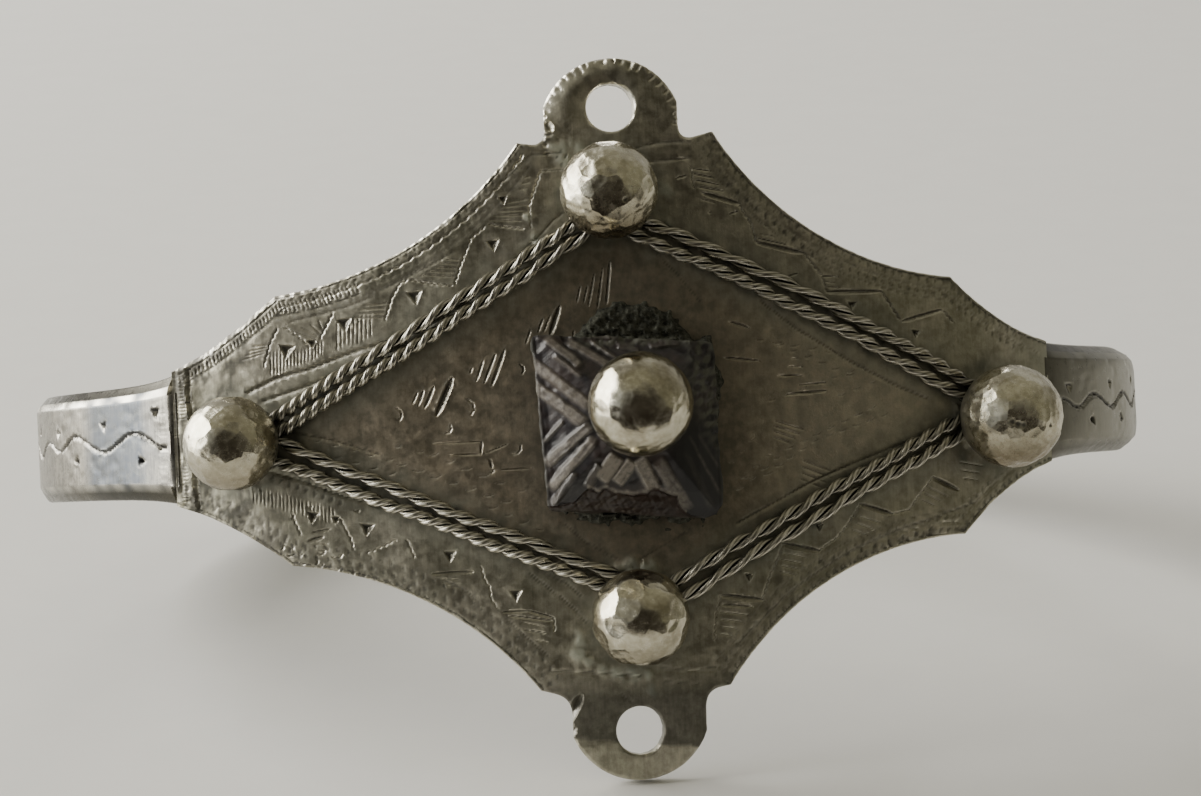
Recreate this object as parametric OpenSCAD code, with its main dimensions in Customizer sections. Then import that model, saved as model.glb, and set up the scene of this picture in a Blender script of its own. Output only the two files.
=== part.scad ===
// Silver bangle with a rhombic engraved front plate, two pierced ears, five beads,
// twisted wire along the rhombus and a glass stone in the middle.
// It is drawn in a hoop frame (x across, y from front to back, z along the hoop's axis)
// and then seated on the floor, on the lower ear and the back of the band.

/* [Hoop] */
// Radius of the gently curved front, at the plate's outer face
front_r = 52; // [46:1:60]
// Radius of each tight side, at the same face
side_r = 22; // [20:0.5:23]
// Distance from the middle of the hoop to the centre of each side's arc
side_x = 10.56; // [9.5:0.01:11.5]
// Radius of the back, at the same face
back_r = 35.2; // [34.8:0.1:40]

/* [Band] */
// Height of the band along the hoop's axis
band_h = 6.1; // [5:0.1:7]
// Thickness of the band
band_t = 2.2; // [1.8:0.1:2.6]
// How far the band's outer face stands proud of the plate's
band_rise = 0.25; // [0.1:0.05:0.4]
// Height of the bevel along each outer edge of the band
bevel_h = 0.85; // [0.4:0.05:1.2]
// Depth of that bevel
bevel_d = 0.45; // [0.2:0.05:0.6]
// Small bevel along each inner edge
inner_bevel = 0.3; // [0.1:0.05:0.5]

/* [Plate] */
// Thickness of the plate
plate_t = 1.3; // [1:0.1:1.6]
// Half width of the plate, where it meets the band
neck_x = 24.1; // [23:0.1:25]
// Half height of the plate there
neck_z = 3.3; // [3.1:0.1:3.6]
// Height of the plate's edge beside the ears
shoulder_z = 14.75; // [14:0.05:15.2]

/* [Ears] */
// Radius of the round outline of an ear
ear_r = 3.85; // [3.6:0.05:4]
// Width of an ear between its straight sides
ear_w = 7.2; // [6.6:0.1:7.4]
// Distance of an ear's tip from the middle of the plate
ear_tip = 19.35; // [18.8:0.05:20]
// Radius of the hole in an ear
hole_r = 1.3; // [1:0.05:1.6]
// Distance of a hole's centre from the middle of the plate
hole_z = 16.68; // [16.2:0.02:17]
// Radius of the small curve at the foot of an ear
foot_r = 0.6; // [0.3:0.1:0.8]

/* [Wire] */
// Outer radius of a rope of two twisted wires
rope_r = 0.34; // [0.28:0.01:0.36]
// Height of a rope's axis over the plate
rope_rise = 0.42; // [0.4:0.01:0.5]

/* [Stone] */
// Height of the stone's underside over the plate
stone_foot = 0.55; // [0.45:0.05:0.7]
// Height of the stone's table over the plate
stone_top = 3; // [2.4:0.1:3.6]
// Radius of the bead on the stone
crown_ball_r = 2.7; // [2.4:0.05:3]
// Radius of the pin that holds this bead
pin_r = 0.45; // [0.3:0.05:0.6]

/* [Hidden] */
$fn = 240;

// One row for each quarter of the plate. Columns: side (-1 left, 1 right), end (-1 lower, 1 upper),
// x and z of the flare corner beside the ear, x and z of the shallow side cusp,
// radius of the hollow between them, radius of the hollow from the cusp to the band.
QUARTERS = [
    [-1,  1, 5.10, 15.00, 18.40, 7.50, 18.8, 17.6],
    [ 1,  1, 5.45, 15.20, 18.55, 6.95, 17.1, 11.0],
    [-1, -1, 5.20, 14.30, 18.10, 7.05, 18.8, 17.8],
    [ 1, -1, 5.00, 14.50, 18.70, 7.15, 16.6,  9.4]
];
// One row for each soldered bead: x and z on the plate, radius, height of its centre over the plate.
BEADS = [
    [-0.45,  12.1, 2.55, 2.10],
    [  0.1, -10.6, 2.55, 2.10],
    [-20.2,  -0.3, 2.50, 2.05],
    [ 20.3, -0.85, 2.75, 2.25]
];
LOWER_BEAD = BEADS[1];
// One row for each rope, in the order of the nodes: x and z where it starts, z half-way,
// x and z where it ends, turns of the twist.
ROPES = [
    [-18.60,  0.98,  5.70, -2.10, 10.56, 9.0],
    [-18.30,  0.23,  5.05, -1.50, 10.00, 9.5],
    [  1.22, 10.55,  6.25, 19.01,  1.10, 6.5],
    [  0.60,  9.95,  5.55, 18.53,  0.43, 8.0],
    [-18.50, -1.40, -5.19, -1.48, -8.94, 9.5],
    [-18.22, -0.39, -4.52, -0.74, -8.36, 6.5],
    [  2.22, -9.89, -5.62, 18.38, -1.80, 5.5],
    [  1.72, -9.02, -4.86, 18.19, -0.98, 6.5]
];
ROPE_SIDES = 10;         // points round a rope
ROPE_RINGS = 8;          // rings for each turn
ROPE_WAIST = 0.28;       // how far the two strands part, as a share of the rope's radius

// Corners of the hand-cut stone on the plate, x and z, counter-clockwise from the front.
STONE_CORNERS = [[4.9, 3.85], [-4.9, 4.7], [-4.4, -4.7], [4.9, -5.65]];
STONE_MIDDLE = [0.25, 0.2];
// Levels of the stone: share of the outline, share of the height.
STONE_LEVELS = [[0.96, 0], [1, 0.1], [1, 0.24], [0.74, 0.55], [0.46, 0.82], [0.2, 1]];
CROWN_SPOT = [0.36, 0.65];   // x and z of the bead on the stone
CROWN_FLAT = 0.25;           // depth of the flat on which this bead sits
CEMENT_SPOT = [0.9, 2.7];    // x and z of the round smear of cement that shows above the stone
CEMENT_R = 3.6;
CEMENT_INSET = 0.94;         // the bed's outline as a share of the stone's
BED_BACK = 1.6;              // deeper than the plate's curve anywhere under the stone
FIT = 0.05;                  // gap between pieces that are set on each other
PIN_PLAY = 0.1;              // gap round the pin
EAR_ROOT = 3;                // length of an ear's straight sides, from its round into the plate
LAP = 0.15;                  // stretch of the plate's end that the band covers
TONGUE = 0.9;                // stretch of the plate's neck that is buried in the band
TONGUE_Z = 2.2;              // half height of that stretch
REACH = 80;                  // larger than the whole hoop
WEDGE_STEPS = 3;             // sides of a wedge's far end
SPARE = 0.4;                 // how far the outline's corners stand out before the hollows cut them

// Plan of the hoop: a long front arc, two side arcs and a back arc, each tangent to the next.
front_a = asin(side_x / (front_r - side_r));
side_y = front_r - (front_r - side_r) * cos(front_a);
back_a = asin(side_x / (back_r - side_r));
back_y = side_y - (back_r - side_r) * cos(back_a);
back_end = back_y + back_r;
front_x = front_r * sin(front_a);
neck_a = asin((neck_x - LAP - side_x) / side_r);
tongue_a = asin((neck_x + TONGUE - side_x) / side_r);

// Point and turn of the plate's outer face at x.
function face_y(x) = abs(x) <= front_x ? front_r - sqrt(front_r * front_r - x * x)
    : side_y - sqrt(side_r * side_r - pow(abs(x) - side_x, 2));
function face_turn(x) = abs(x) <= front_x ? asin(x / front_r)
    : sign(x) * asin((abs(x) - side_x) / side_r);
function unit(v) = v / norm(v);
function face_point(x, z, rise) =
    [x + rise * sin(face_turn(x)), face_y(x) - rise * cos(face_turn(x)), z];

// Seat: the hoop leans back until the lower ear's inner edge and the band's back touch the floor.
back_foot_y = back_end + band_rise - bevel_d;
lean = atan((ear_tip - band_h / 2) / (back_foot_y - plate_t));
seat_z = plate_t * sin(lean) + ear_tip * cos(lean);
function leaned_y(y, z) = y * cos(lean) + z * sin(lean);
front_edge = min(
    leaned_y(-LOWER_BEAD[3], LOWER_BEAD[1]) - LOWER_BEAD[2],
    leaned_y(-(stone_top + FIT + crown_ball_r - CROWN_FLAT), CROWN_SPOT[1]) - crown_ball_r);
back_edge = leaned_y(back_end + band_rise, band_h / 2 - bevel_h);
seat_y = -(front_edge + back_edge) / 2;

module seated() {
    translate([0, seat_y, seat_z]) rotate([-lean, 0, 0]) children();
}

// A section (x outwards from the plate's face, y up) turned round one arc of the plan:
// a whole ring, of which the wedge between two directions is kept.
module arc_sweep(x, y, r, from, to) {
    intersection() {
        translate([x, y, 0]) rotate_extrude() translate([r, 0]) children();
        translate([0, 0, -REACH / 2]) linear_extrude(REACH)
            polygon([[x, y], for (k = [0:WEDGE_STEPS]) let (a = from + (to - from) * k / WEDGE_STEPS)
                [x + REACH * cos(a), y + REACH * sin(a)]]);
    }
}

module on_face(x, z, rise) {
    translate([x, face_y(x), z]) rotate([0, 0, face_turn(x)]) translate([0, -rise, 0])
        children();
}

module band_section() {
    half = band_h / 2;
    inner = band_rise - band_t;
    polygon([
        [inner + inner_bevel, -half], [band_rise - bevel_d, -half],
        [band_rise, -half + bevel_h], [band_rise, half - bevel_h],
        [band_rise - bevel_d, half], [inner + inner_bevel, half],
        [inner, half - inner_bevel], [inner, -half + inner_bevel]
    ]);
}

module plate_section() {
    translate([-plate_t, -REACH / 2]) square([plate_t, REACH]);
}

// The disc whose rim runs from p to q, on the side away from the plate's middle.
module hollow(p, q, r) {
    mid = (p + q) / 2;
    along = q - p;
    span = norm(along);
    away = [-along[1], along[0]] / span;
    side = mid * away > 0 ? 1 : -1;
    translate(mid + side * sqrt(r * r - span * span / 4) * away) circle(r);
}

function flare(q) = [q[0] * q[2], q[1] * q[3]];
function cusp(q) = [q[0] * q[4], q[1] * q[5]];
function neck(q) = [q[0] * neck_x, q[1] * neck_z];
function shoulder(q) = [q[0] * ear_w / 2, q[1] * shoulder_z];
// The same corners, moved out so that the hollows alone give the finished edge.
function wide_flare(q) = flare(q) + SPARE * unit(flare(q) - shoulder(q));
function wide_cusp(q) = cusp(q) + SPARE * unit(cusp(q));
function wide_neck(q) = neck(q) + [0, q[1] * SPARE];

module ear_outline(end) {
    centre = end * (ear_tip - ear_r);
    intersection() {
        translate([0, centre]) circle(ear_r);
        square([ear_w, REACH], center = true);
    }
    translate([0, centre - end * EAR_ROOT / 2]) square([ear_w, EAR_ROOT], center = true);
    for (s = [-1, 1])
        difference() {
            translate([s * (ear_w + foot_r) / 2, end * shoulder_z])
                square([foot_r, 2 * foot_r], center = true);
            translate([s * (ear_w / 2 + foot_r), end * (shoulder_z + foot_r)]) circle(foot_r);
        }
}

module plate_outline() {
    ring = [QUARTERS[1], QUARTERS[0], QUARTERS[2], QUARTERS[3]];
    difference() {
        polygon([for (i = [0:3]) let (
                q = ring[i], out = [wide_neck(q), wide_cusp(q), wide_flare(q), shoulder(q)])
            for (k = [0:3]) out[i % 2 == 0 ? k : 3 - k]]);
        for (q = QUARTERS) {
            hollow(flare(q), cusp(q), q[6]);
            hollow(cusp(q), neck(q), q[7]);
        }
    }
    square([2 * (neck_x + TONGUE), 2 * TONGUE_Z], center = true);
    for (end = [-1, 1]) ear_outline(end);
}

module plate() {
    intersection() {
        union() {
            arc_sweep(0, front_r, front_r, 270 - front_a, 270 + front_a) plate_section();
            arc_sweep(side_x, side_y, side_r, 270 + front_a, 270 + tongue_a) plate_section();
            arc_sweep(-side_x, side_y, side_r, 270 - tongue_a, 270 - front_a) plate_section();
        }
        translate([0, REACH / 2, 0]) rotate([90, 0, 0]) linear_extrude(REACH) plate_outline();
    }
}

module band() {
    arc_sweep(side_x, side_y, side_r, neck_a - 90, 90 - back_a) band_section();
    arc_sweep(0, back_y, back_r, 90 - back_a, 90 + back_a) band_section();
    arc_sweep(-side_x, side_y, side_r, 90 + back_a, 270 - neck_a) band_section();
}

module cuff() {
    color("#8e8875") seated() {
        difference() {
            union() {
                plate();
                band();
            }
            for (end = [-1, 1])
                translate([0, plate_t * 2, end * hole_z]) rotate([90, 0, 0])
                    cylinder(r = hole_r, h = plate_t * 4);
        }
        for (b = BEADS) on_face(b[0], b[1], b[3]) sphere(b[2]);
    }
}

// A rope runs over the plate along a shallow parabola in x and z. Its twist is left-handed.
function rope_x(row, u) = row[0] + (row[3] - row[0]) * u;
function rope_z(row, u) =
    (1 - u) * (1 - 2 * u) * row[1] + 4 * u * (1 - u) * row[2] + u * (2 * u - 1) * row[4];
function rope_point(row, u) = face_point(rope_x(row, u), rope_z(row, u), rope_rise);
function lobe(a) = rope_r * (1 - ROPE_WAIST + ROPE_WAIST * cos(2 * a));

module rope(row) {
    rings = round(row[5] * ROPE_RINGS);
    step = 1 / rings;
    points = [for (i = [0:rings]) let (
            u = i * step,
            turn = face_turn(rope_x(row, u)),
            up = [sin(turn), -cos(turn), 0],
            ahead = unit(rope_point(row, u + step / 2) - rope_point(row, u - step / 2)),
            across = unit(cross(ahead, up)),
            out = cross(across, ahead),
            twist = 360 * i / ROPE_RINGS)
        for (k = [0:ROPE_SIDES - 1]) let (a = 360 * k / ROPE_SIDES, t = a + twist)
            rope_point(row, u) + lobe(a) * (cos(t) * across + sin(t) * out)];
    skin = [for (i = [0:rings - 1]) for (k = [0:ROPE_SIDES - 1]) let (
            a = i * ROPE_SIDES + k, b = i * ROPE_SIDES + (k + 1) % ROPE_SIDES)
        each [[a, a + ROPE_SIDES, b], [a + ROPE_SIDES, b + ROPE_SIDES, b]]];
    last = rings * ROPE_SIDES;
    ends = [[for (k = [0:ROPE_SIDES - 1]) k],
        [for (k = [ROPE_SIDES - 1:-1:0]) last + k]];
    color("#bdb6a2") seated() polyhedron(points, concat(skin, ends));
}

module stone_outline(share) {
    polygon([for (c = STONE_CORNERS) STONE_MIDDLE + share * (c - STONE_MIDDLE)]);
}

// The bed fills the space between the curved plate and the stone's flat underside.
module cement_bed() {
    color("#2d2a26") seated() difference() {
        translate([0, BED_BACK, 0]) rotate([90, 0, 0])
            linear_extrude(BED_BACK + stone_foot - FIT) difference() {
                union() {
                    stone_outline(CEMENT_INSET);
                    translate(CEMENT_SPOT) circle(CEMENT_R);
                }
                translate(CROWN_SPOT) circle(pin_r + PIN_PLAY);
            }
        translate([0, front_r, -REACH / 2]) cylinder(r = front_r + FIT, h = REACH);
    }
}

module stone() {
    sides = len(STONE_CORNERS);
    last = (len(STONE_LEVELS) - 1) * sides;
    height = stone_top - stone_foot;
    points = [for (level = STONE_LEVELS) for (c = STONE_CORNERS)
        let (p = STONE_MIDDLE + level[0] * (c - STONE_MIDDLE))
            [p[0], -(stone_foot + level[1] * height), p[1]]];
    skin = [for (i = [0:len(STONE_LEVELS) - 2]) for (k = [0:sides - 1]) let (
            a = i * sides + k, b = i * sides + (k + 1) % sides)
        each [[a, a + sides, b + sides], [a, b + sides, b]]];
    ends = [[for (k = [0:sides - 1]) k], [for (k = [sides - 1:-1:0]) last + k]];
    color("#4d4354") seated() difference() {
        polyhedron(points, concat(skin, ends));
        translate([CROWN_SPOT[0], 0, CROWN_SPOT[1]]) rotate([90, 0, 0])
            cylinder(r = pin_r + PIN_PLAY, h = stone_top + 1);
    }
}

module stone_ball() {
    seat = stone_top + FIT;
    color("#c6c0ae") seated() translate([CROWN_SPOT[0], 0, CROWN_SPOT[1]]) {
        difference() {
            translate([0, -(seat + crown_ball_r - CROWN_FLAT), 0]) sphere(crown_ball_r);
            translate([-REACH / 2, -seat, -REACH / 2]) cube(REACH);
        }
        rotate([90, 0, 0]) translate([0, 0, FIT + PIN_PLAY])
            cylinder(r = pin_r, h = stone_top + crown_ball_r / 2);
    }
}

cuff();
rope(ROPES[0]);  // rope_upper_left_outer
rope(ROPES[1]);  // rope_upper_left_inner
rope(ROPES[2]);  // rope_upper_right_outer
rope(ROPES[3]);  // rope_upper_right_inner
rope(ROPES[4]);  // rope_lower_left_outer
rope(ROPES[5]);  // rope_lower_left_inner
rope(ROPES[6]);  // rope_lower_right_outer
rope(ROPES[7]);  // rope_lower_right_inner
cement_bed();
stone();
stone_ball();
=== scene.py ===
"""An old silver bangle: engraved rhombic plate, five beads, ropes of twisted wire and a set glass stone.

Lengths are millimetres in the hoop frame (x across, y from front to back, z along the hoop's axis)
until seat() leans the hoop back onto its lower ear and gives metres.
"""

import random
from functools import cache, partial
from math import asin, atan, atan2, cos, hypot, pi, radians, sin, sqrt, tau

import bmesh
import bpy
import numpy as np
from bpy.props import FloatProperty, FloatVectorProperty, IntProperty, PointerProperty
from mathutils import Matrix, Vector


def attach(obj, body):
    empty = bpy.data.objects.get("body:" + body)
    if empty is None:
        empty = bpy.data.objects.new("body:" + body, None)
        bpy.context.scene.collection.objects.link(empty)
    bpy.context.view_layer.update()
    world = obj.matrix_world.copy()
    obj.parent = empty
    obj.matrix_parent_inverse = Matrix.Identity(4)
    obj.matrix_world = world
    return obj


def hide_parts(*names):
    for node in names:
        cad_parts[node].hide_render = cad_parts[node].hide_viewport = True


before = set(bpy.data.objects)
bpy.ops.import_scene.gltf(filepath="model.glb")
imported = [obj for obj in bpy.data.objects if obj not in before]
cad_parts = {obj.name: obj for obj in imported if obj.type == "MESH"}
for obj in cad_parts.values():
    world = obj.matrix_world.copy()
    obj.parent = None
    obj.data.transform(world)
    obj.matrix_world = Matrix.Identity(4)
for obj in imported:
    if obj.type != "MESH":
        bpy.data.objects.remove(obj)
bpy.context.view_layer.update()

bl_info = {
    "name": "Engraved Silver Bangle",
    "version": (1, 0, 0),
    "blender": (4, 5, 0),
    "location": "3D View > Sidebar > Bangle",
    "description": "Dresses the packed bangle with its engraved plate, band, beads, ropes and stone",
    "category": "Object",
}

MM = 0.001

# Hoop: a gently curved front, two tight sides and a round back, tangent to each other
FRONT_R, SIDE_R, SIDE_X, BACK_R = 52.0, 22.0, 10.56, 35.2
FRONT_A = asin(SIDE_X / (FRONT_R - SIDE_R))
FRONT_X = FRONT_R * sin(FRONT_A)
SIDE_Y = FRONT_R - (FRONT_R - SIDE_R) * cos(FRONT_A)
BACK_A = asin(SIDE_X / (BACK_R - SIDE_R))
BACK_Y = SIDE_Y - (BACK_R - SIDE_R) * cos(BACK_A)

# Band: height, thickness, how far its face stands over the plate's; height and depth of its
# bevel, and the bevel of its inner edges
BAND_H, BAND_T, BAND_RISE = 6.1, 2.2, 0.25
BEVEL_H, BEVEL_D, INNER_BEVEL = 0.85, 0.45, 0.3

# Plate and ears: thickness, half length, height of the shoulders; radius, width and tip of an
# ear, its hole, and how far the band runs in over the plate's end
PLATE_T, NECK_X, SHOULDER_Z = 1.3, 24.1, 14.75
EAR_R, EAR_W, EAR_TIP, HOLE_R, HOLE_Z = 3.85, 7.2, 19.35, 1.3, 16.68
LAP = 0.15
NECK_A = asin((NECK_X - LAP - SIDE_X) / SIDE_R)

# Quarters of the plate: side, end, flare corner x and z, cusp x and z, radius of each hollow, and
# height where the rim meets the band
QUARTERS = {
    "upper_left": (-1, 1, 5.10, 15.00, 18.50, 7.55, 18.8, 30.0, 3.8),
    "upper_right": (1, 1, 5.45, 15.20, 18.55, 6.95, 17.1, 14.0, 3.25),
    "lower_left": (-1, -1, 5.20, 14.30, 18.10, 7.05, 18.8, 22.0, 3.55),
    "lower_right": (1, -1, 5.00, 14.50, 18.70, 7.15, 16.6, 14.0, 3.4),
}

# Soldered beads: x and z on the plate, radius, height of the centre over the plate
BEADS = {
    "bead_top": (-0.45, 12.1, 2.55, 2.10),
    "bead_bottom": (0.1, -10.6, 2.55, 2.10),
    "bead_left": (-20.2, -0.3, 2.50, 2.05),
    "bead_right": (20.3, -0.85, 2.75, 2.25),
}

# Ropes: x and z where each starts, z half-way, x and z where it ends, turns of the twist, how much
# tighter the twist is at the start than at the end, and how much tighter at both than half-way
ROPES = {
    "rope_upper_left_outer": (-18.60, 0.98, 5.70, -2.10, 10.56, 9.0, 0.3, 0.25),
    "rope_upper_left_inner": (-18.30, 0.23, 5.05, -1.50, 10.00, 9.5, 0.35, -0.05),
    "rope_upper_right_outer": (1.22, 10.55, 6.25, 19.01, 1.10, 6.5, -0.3, 0.15),
    "rope_upper_right_inner": (0.60, 9.95, 5.55, 18.53, 0.43, 8.0, 0.0, 0.0),
    "rope_lower_left_outer": (-18.50, -1.40, -5.19, -1.48, -8.94, 9.5, 0.0, 0.0),
    "rope_lower_left_inner": (-18.22, -0.39, -4.52, -0.74, -8.36, 6.5, 0.1, -0.1),
    "rope_lower_right_outer": (2.22, -9.89, -5.62, 18.38, -1.80, 5.5, -0.3, 0.05),
    "rope_lower_right_inner": (1.72, -9.02, -4.86, 18.19, -0.98, 6.5, -0.25, 0.0),
}
# Radius of a rope, and height of its middle over the plate
ROPE_R, ROPE_RISE = 0.38, 0.42

# Stone: corners on the plate, middle, the rounded corner's centre and radius, foot and table over
# the plate, and its profile from the middle out
STONE_CORNERS = ((4.9, 3.85), (-4.9, 4.7), (-4.4, -4.7), (4.9, -5.65))
STONE_MIDDLE = (0.25, 0.2)
STONE_ROUND_CORNER = (3.9, -4.5, 1.0)
STONE_FOOT, STONE_TOP = 0.55, 3.0
STONE_PROFILE = ((0.0, 1.0), (0.2, 1.0), (0.46, 0.82), (0.74, 0.55), (0.96, 0.24))
# The bead on the stone, its seat and the gap between fitted pieces; the cement's smear
CROWN_SPOT, CROWN_R, CROWN_FLAT, FIT = (0.36, 0.65), 2.7, 0.25, 0.05
CEMENT_SPOT, CEMENT_R = (0.9, 2.7), 3.6

# Seat of the hoop on the floor
BACK_FOOT_Y = BACK_Y + BACK_R + BAND_RISE - BEVEL_D
LEAN = atan((EAR_TIP - BAND_H / 2) / (BACK_FOOT_Y - PLATE_T))
SEAT_Z = PLATE_T * sin(LEAN) + EAR_TIP * cos(LEAN)
CROWN_AHEAD = STONE_TOP + FIT + CROWN_R - CROWN_FLAT
FRONT_EDGE = -CROWN_AHEAD * cos(LEAN) + (CROWN_SPOT[1] * sin(LEAN) - CROWN_R)
BACK_EDGE = (BACK_Y + BACK_R + BAND_RISE) * cos(LEAN) + (BAND_H / 2 - BEVEL_H) * sin(LEAN)
LOW_BEAD = BEADS["bead_bottom"]
LOW_EDGE = -LOW_BEAD[3] * cos(LEAN) + LOW_BEAD[1] * sin(LEAN) - LOW_BEAD[2]
SEAT_Y = -(min(FRONT_EDGE, LOW_EDGE) + BACK_EDGE) / 2

# The photograph's camera in the hoop frame: size of its picture and focal length in pixels, how far
# it is from the plate's middle, its turn, rise and roll, and the pixel that shows the middle
PHOTO_W, PHOTO_H = 1201, 796
PHOTO_FOCUS = 3740.0
CAMERA_AWAY = 200.0
CAMERA_AZIMUTH, CAMERA_RISE, CAMERA_ROLL = (radians(a) for a in (-4.5, -1.0, 2.8))
PLATE_MIDDLE_PX = (625.5, 418.5)


def camera_axes():
    """Ahead, right and up of the camera in the hoop frame."""
    flat, azimuth = cos(CAMERA_RISE), CAMERA_AZIMUTH
    ahead = Vector((-sin(azimuth) * flat, cos(azimuth) * flat, -sin(CAMERA_RISE)))
    level = ahead.cross(Vector((0, 0, 1))).normalized()
    upright = level.cross(ahead)
    turn = cos(CAMERA_ROLL), sin(CAMERA_ROLL)
    return ahead, level * turn[0] - upright * turn[1], level * turn[1] + upright * turn[0]


AHEAD, RIGHT, UP = camera_axes()


def sight(px, py):
    """The direction in which the camera sees a pixel of the photograph."""
    return AHEAD * PHOTO_FOCUS + RIGHT * (px - PHOTO_W / 2) - UP * (py - PHOTO_H / 2)


MIDDLE_SIGHT = sight(*PLATE_MIDDLE_PX)
CAMERA_AT = -MIDDLE_SIGHT * (CAMERA_AWAY / MIDDLE_SIGHT.dot(AHEAD))


def face_y(x):
    """How far the plate's outer face has curved back at x."""
    across = np.abs(x)
    front = FRONT_R - np.sqrt(np.maximum(FRONT_R**2 - across**2, 0))
    side = SIDE_Y - np.sqrt(np.maximum(SIDE_R**2 - (across - SIDE_X) ** 2, 0))
    return np.where(across <= FRONT_X, front, side)


def face_turn(x):
    """How far the plate's outer face has turned at x, in radians."""
    across = np.abs(x)
    front = np.arcsin(np.clip(across / FRONT_R, -1, 1))
    side = np.arcsin(np.clip((across - SIDE_X) / SIDE_R, -1, 1))
    return np.sign(x) * np.where(across <= FRONT_X, front, side)


def on_face(x, z, rise):
    """Hoop points over the plate's face."""
    turn = face_turn(x)
    return np.stack([x + rise * np.sin(turn), face_y(x) - rise * np.cos(turn), z], axis=1)


def seat(points):
    """Hoop points in millimetres, leaned back onto the floor, in metres."""
    x, y, z = points.T
    c, s = cos(LEAN), sin(LEAN)
    return np.stack([x, y * c + z * s + SEAT_Y, -y * s + z * c + SEAT_Z], axis=1) * MM


def at(px, py, rise=0.0):
    """Plate x and z of what the photograph shows at a pixel."""
    ray = sight(px, py)
    back = 0.0
    for _ in range(16):
        p = CAMERA_AT + ray * ((back - CAMERA_AT.y) / ray.y)
        back = float(face_y(p.x)) - rise
    return p.x, p.z


def at_band(px, py, side):
    """Length along the band's face from the plate, and height, of what a pixel shows."""
    ray, middle, reach = sight(px, py), Vector((side * SIDE_X, SIDE_Y)), SIDE_R + BAND_RISE
    start, way = CAMERA_AT.xy - middle, ray.xy
    steep, half = way.dot(way), start.dot(way)
    nearest = (-half - sqrt(half**2 - steep * (start.dot(start) - reach**2))) / steep
    p = CAMERA_AT + ray * nearest
    angle = atan2(side * p.x - SIDE_X, SIDE_Y - p.y)
    return SIDE_R * (angle - NECK_A), p.z


def unit(values):
    """Values held between 0 and 1."""
    return np.clip(values, 0, 1)


# Outline of the plate


def hollow(p, q, radius):
    """Centre of the disc whose rim runs from p to q on the side away from the plate's middle."""
    mid = ((p[0] + q[0]) / 2, (p[1] + q[1]) / 2)
    along = (q[0] - p[0], q[1] - p[1])
    span = hypot(*along)
    away = (-along[1] / span, along[0] / span)
    side = 1 if mid[0] * away[0] + mid[1] * away[1] > 0 else -1
    reach = side * sqrt(radius**2 - span**2 / 4)
    return mid[0] + reach * away[0], mid[1] + reach * away[1]


def corners_of(quarter):
    """Flare corner, cusp and end at the band of one quarter of the plate."""
    side, end, fx, fz, cx, cz, _, _, neck = QUARTERS[quarter]
    return (side * fx, end * fz), (side * cx, end * cz), (side * NECK_X, end * neck)


# Both hollows of each quarter: centre, radius and ends
HOLLOWS = {}
for quarter, row in QUARTERS.items():
    flare, cusp, neck = corners_of(quarter)
    HOLLOWS[quarter] = (
        (hollow(flare, cusp, row[6]), row[6], flare, cusp),
        (hollow(cusp, neck, row[7]), row[7], cusp, neck),
    )


def soft_min(a, b, blend):
    """The smaller of two distances, with the corner between them filled."""
    share = unit(0.5 + 0.5 * (b - a) / blend)
    return b + (a - b) * share - blend * share * (1 - share)


# Farther than any point lies from a cut or inside an outline
FAR = 9.0
# How softly an ear runs into the plate
EAR_FOOT_BLEND = 0.9


def plate_outline(x, z):
    """Distance outside the plate's outline, less than nothing inside it."""
    body = np.abs(x) - NECK_X
    for quarter, (side, end, fx, fz, *_rest) in QUARTERS.items():
        for centre, radius, _p, _q in HOLLOWS[quarter]:
            body = np.maximum(body, radius - np.hypot(x - centre[0], z - centre[1]))
        slope = (fz - SHOULDER_Z) / (fx - EAR_W / 2)
        edge = SHOULDER_Z + slope * np.maximum(np.abs(x) - EAR_W / 2, 0)
        here = (x * side >= 0) & (z * end >= 0)
        body = np.where(here, np.maximum(body, np.abs(z) - edge), body)
    for end in (-1, 1):
        round_end = np.hypot(x, z - end * (EAR_TIP - EAR_R)) - EAR_R
        stem = np.maximum(-z * end + 10, z * end - (EAR_TIP - EAR_R))
        ear = np.maximum(np.minimum(round_end, stem), np.abs(x) - EAR_W / 2)
        body = soft_min(body, ear, EAR_FOOT_BLEND)
        body = np.maximum(body, HOLE_R - np.hypot(x, z - end * HOLE_Z))
    return body


def ripple(x, z, size, seed, waves=10):
    """Smooth unevenness between about -1 and 1, with swells of the given size in millimetres."""
    draw = random.Random(seed)
    total = np.zeros(len(x))
    for _ in range(waves):
        turn, phase = draw.uniform(0, pi), draw.uniform(0, tau)
        pace = tau / (size * draw.uniform(0.7, 1.6))
        total += np.sin((x * cos(turn) + z * sin(turn)) * pace + phase)
    return total / sqrt(waves)


# How far round a stroke its points are looked for, and the burr beside a cut: how far out, how
# wide, and its height as a share of the cut's depth
REACH, BURR_OUT, BURR_W, BURR_SHARE = 0.26, 0.035, 0.06, 0.14


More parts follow.
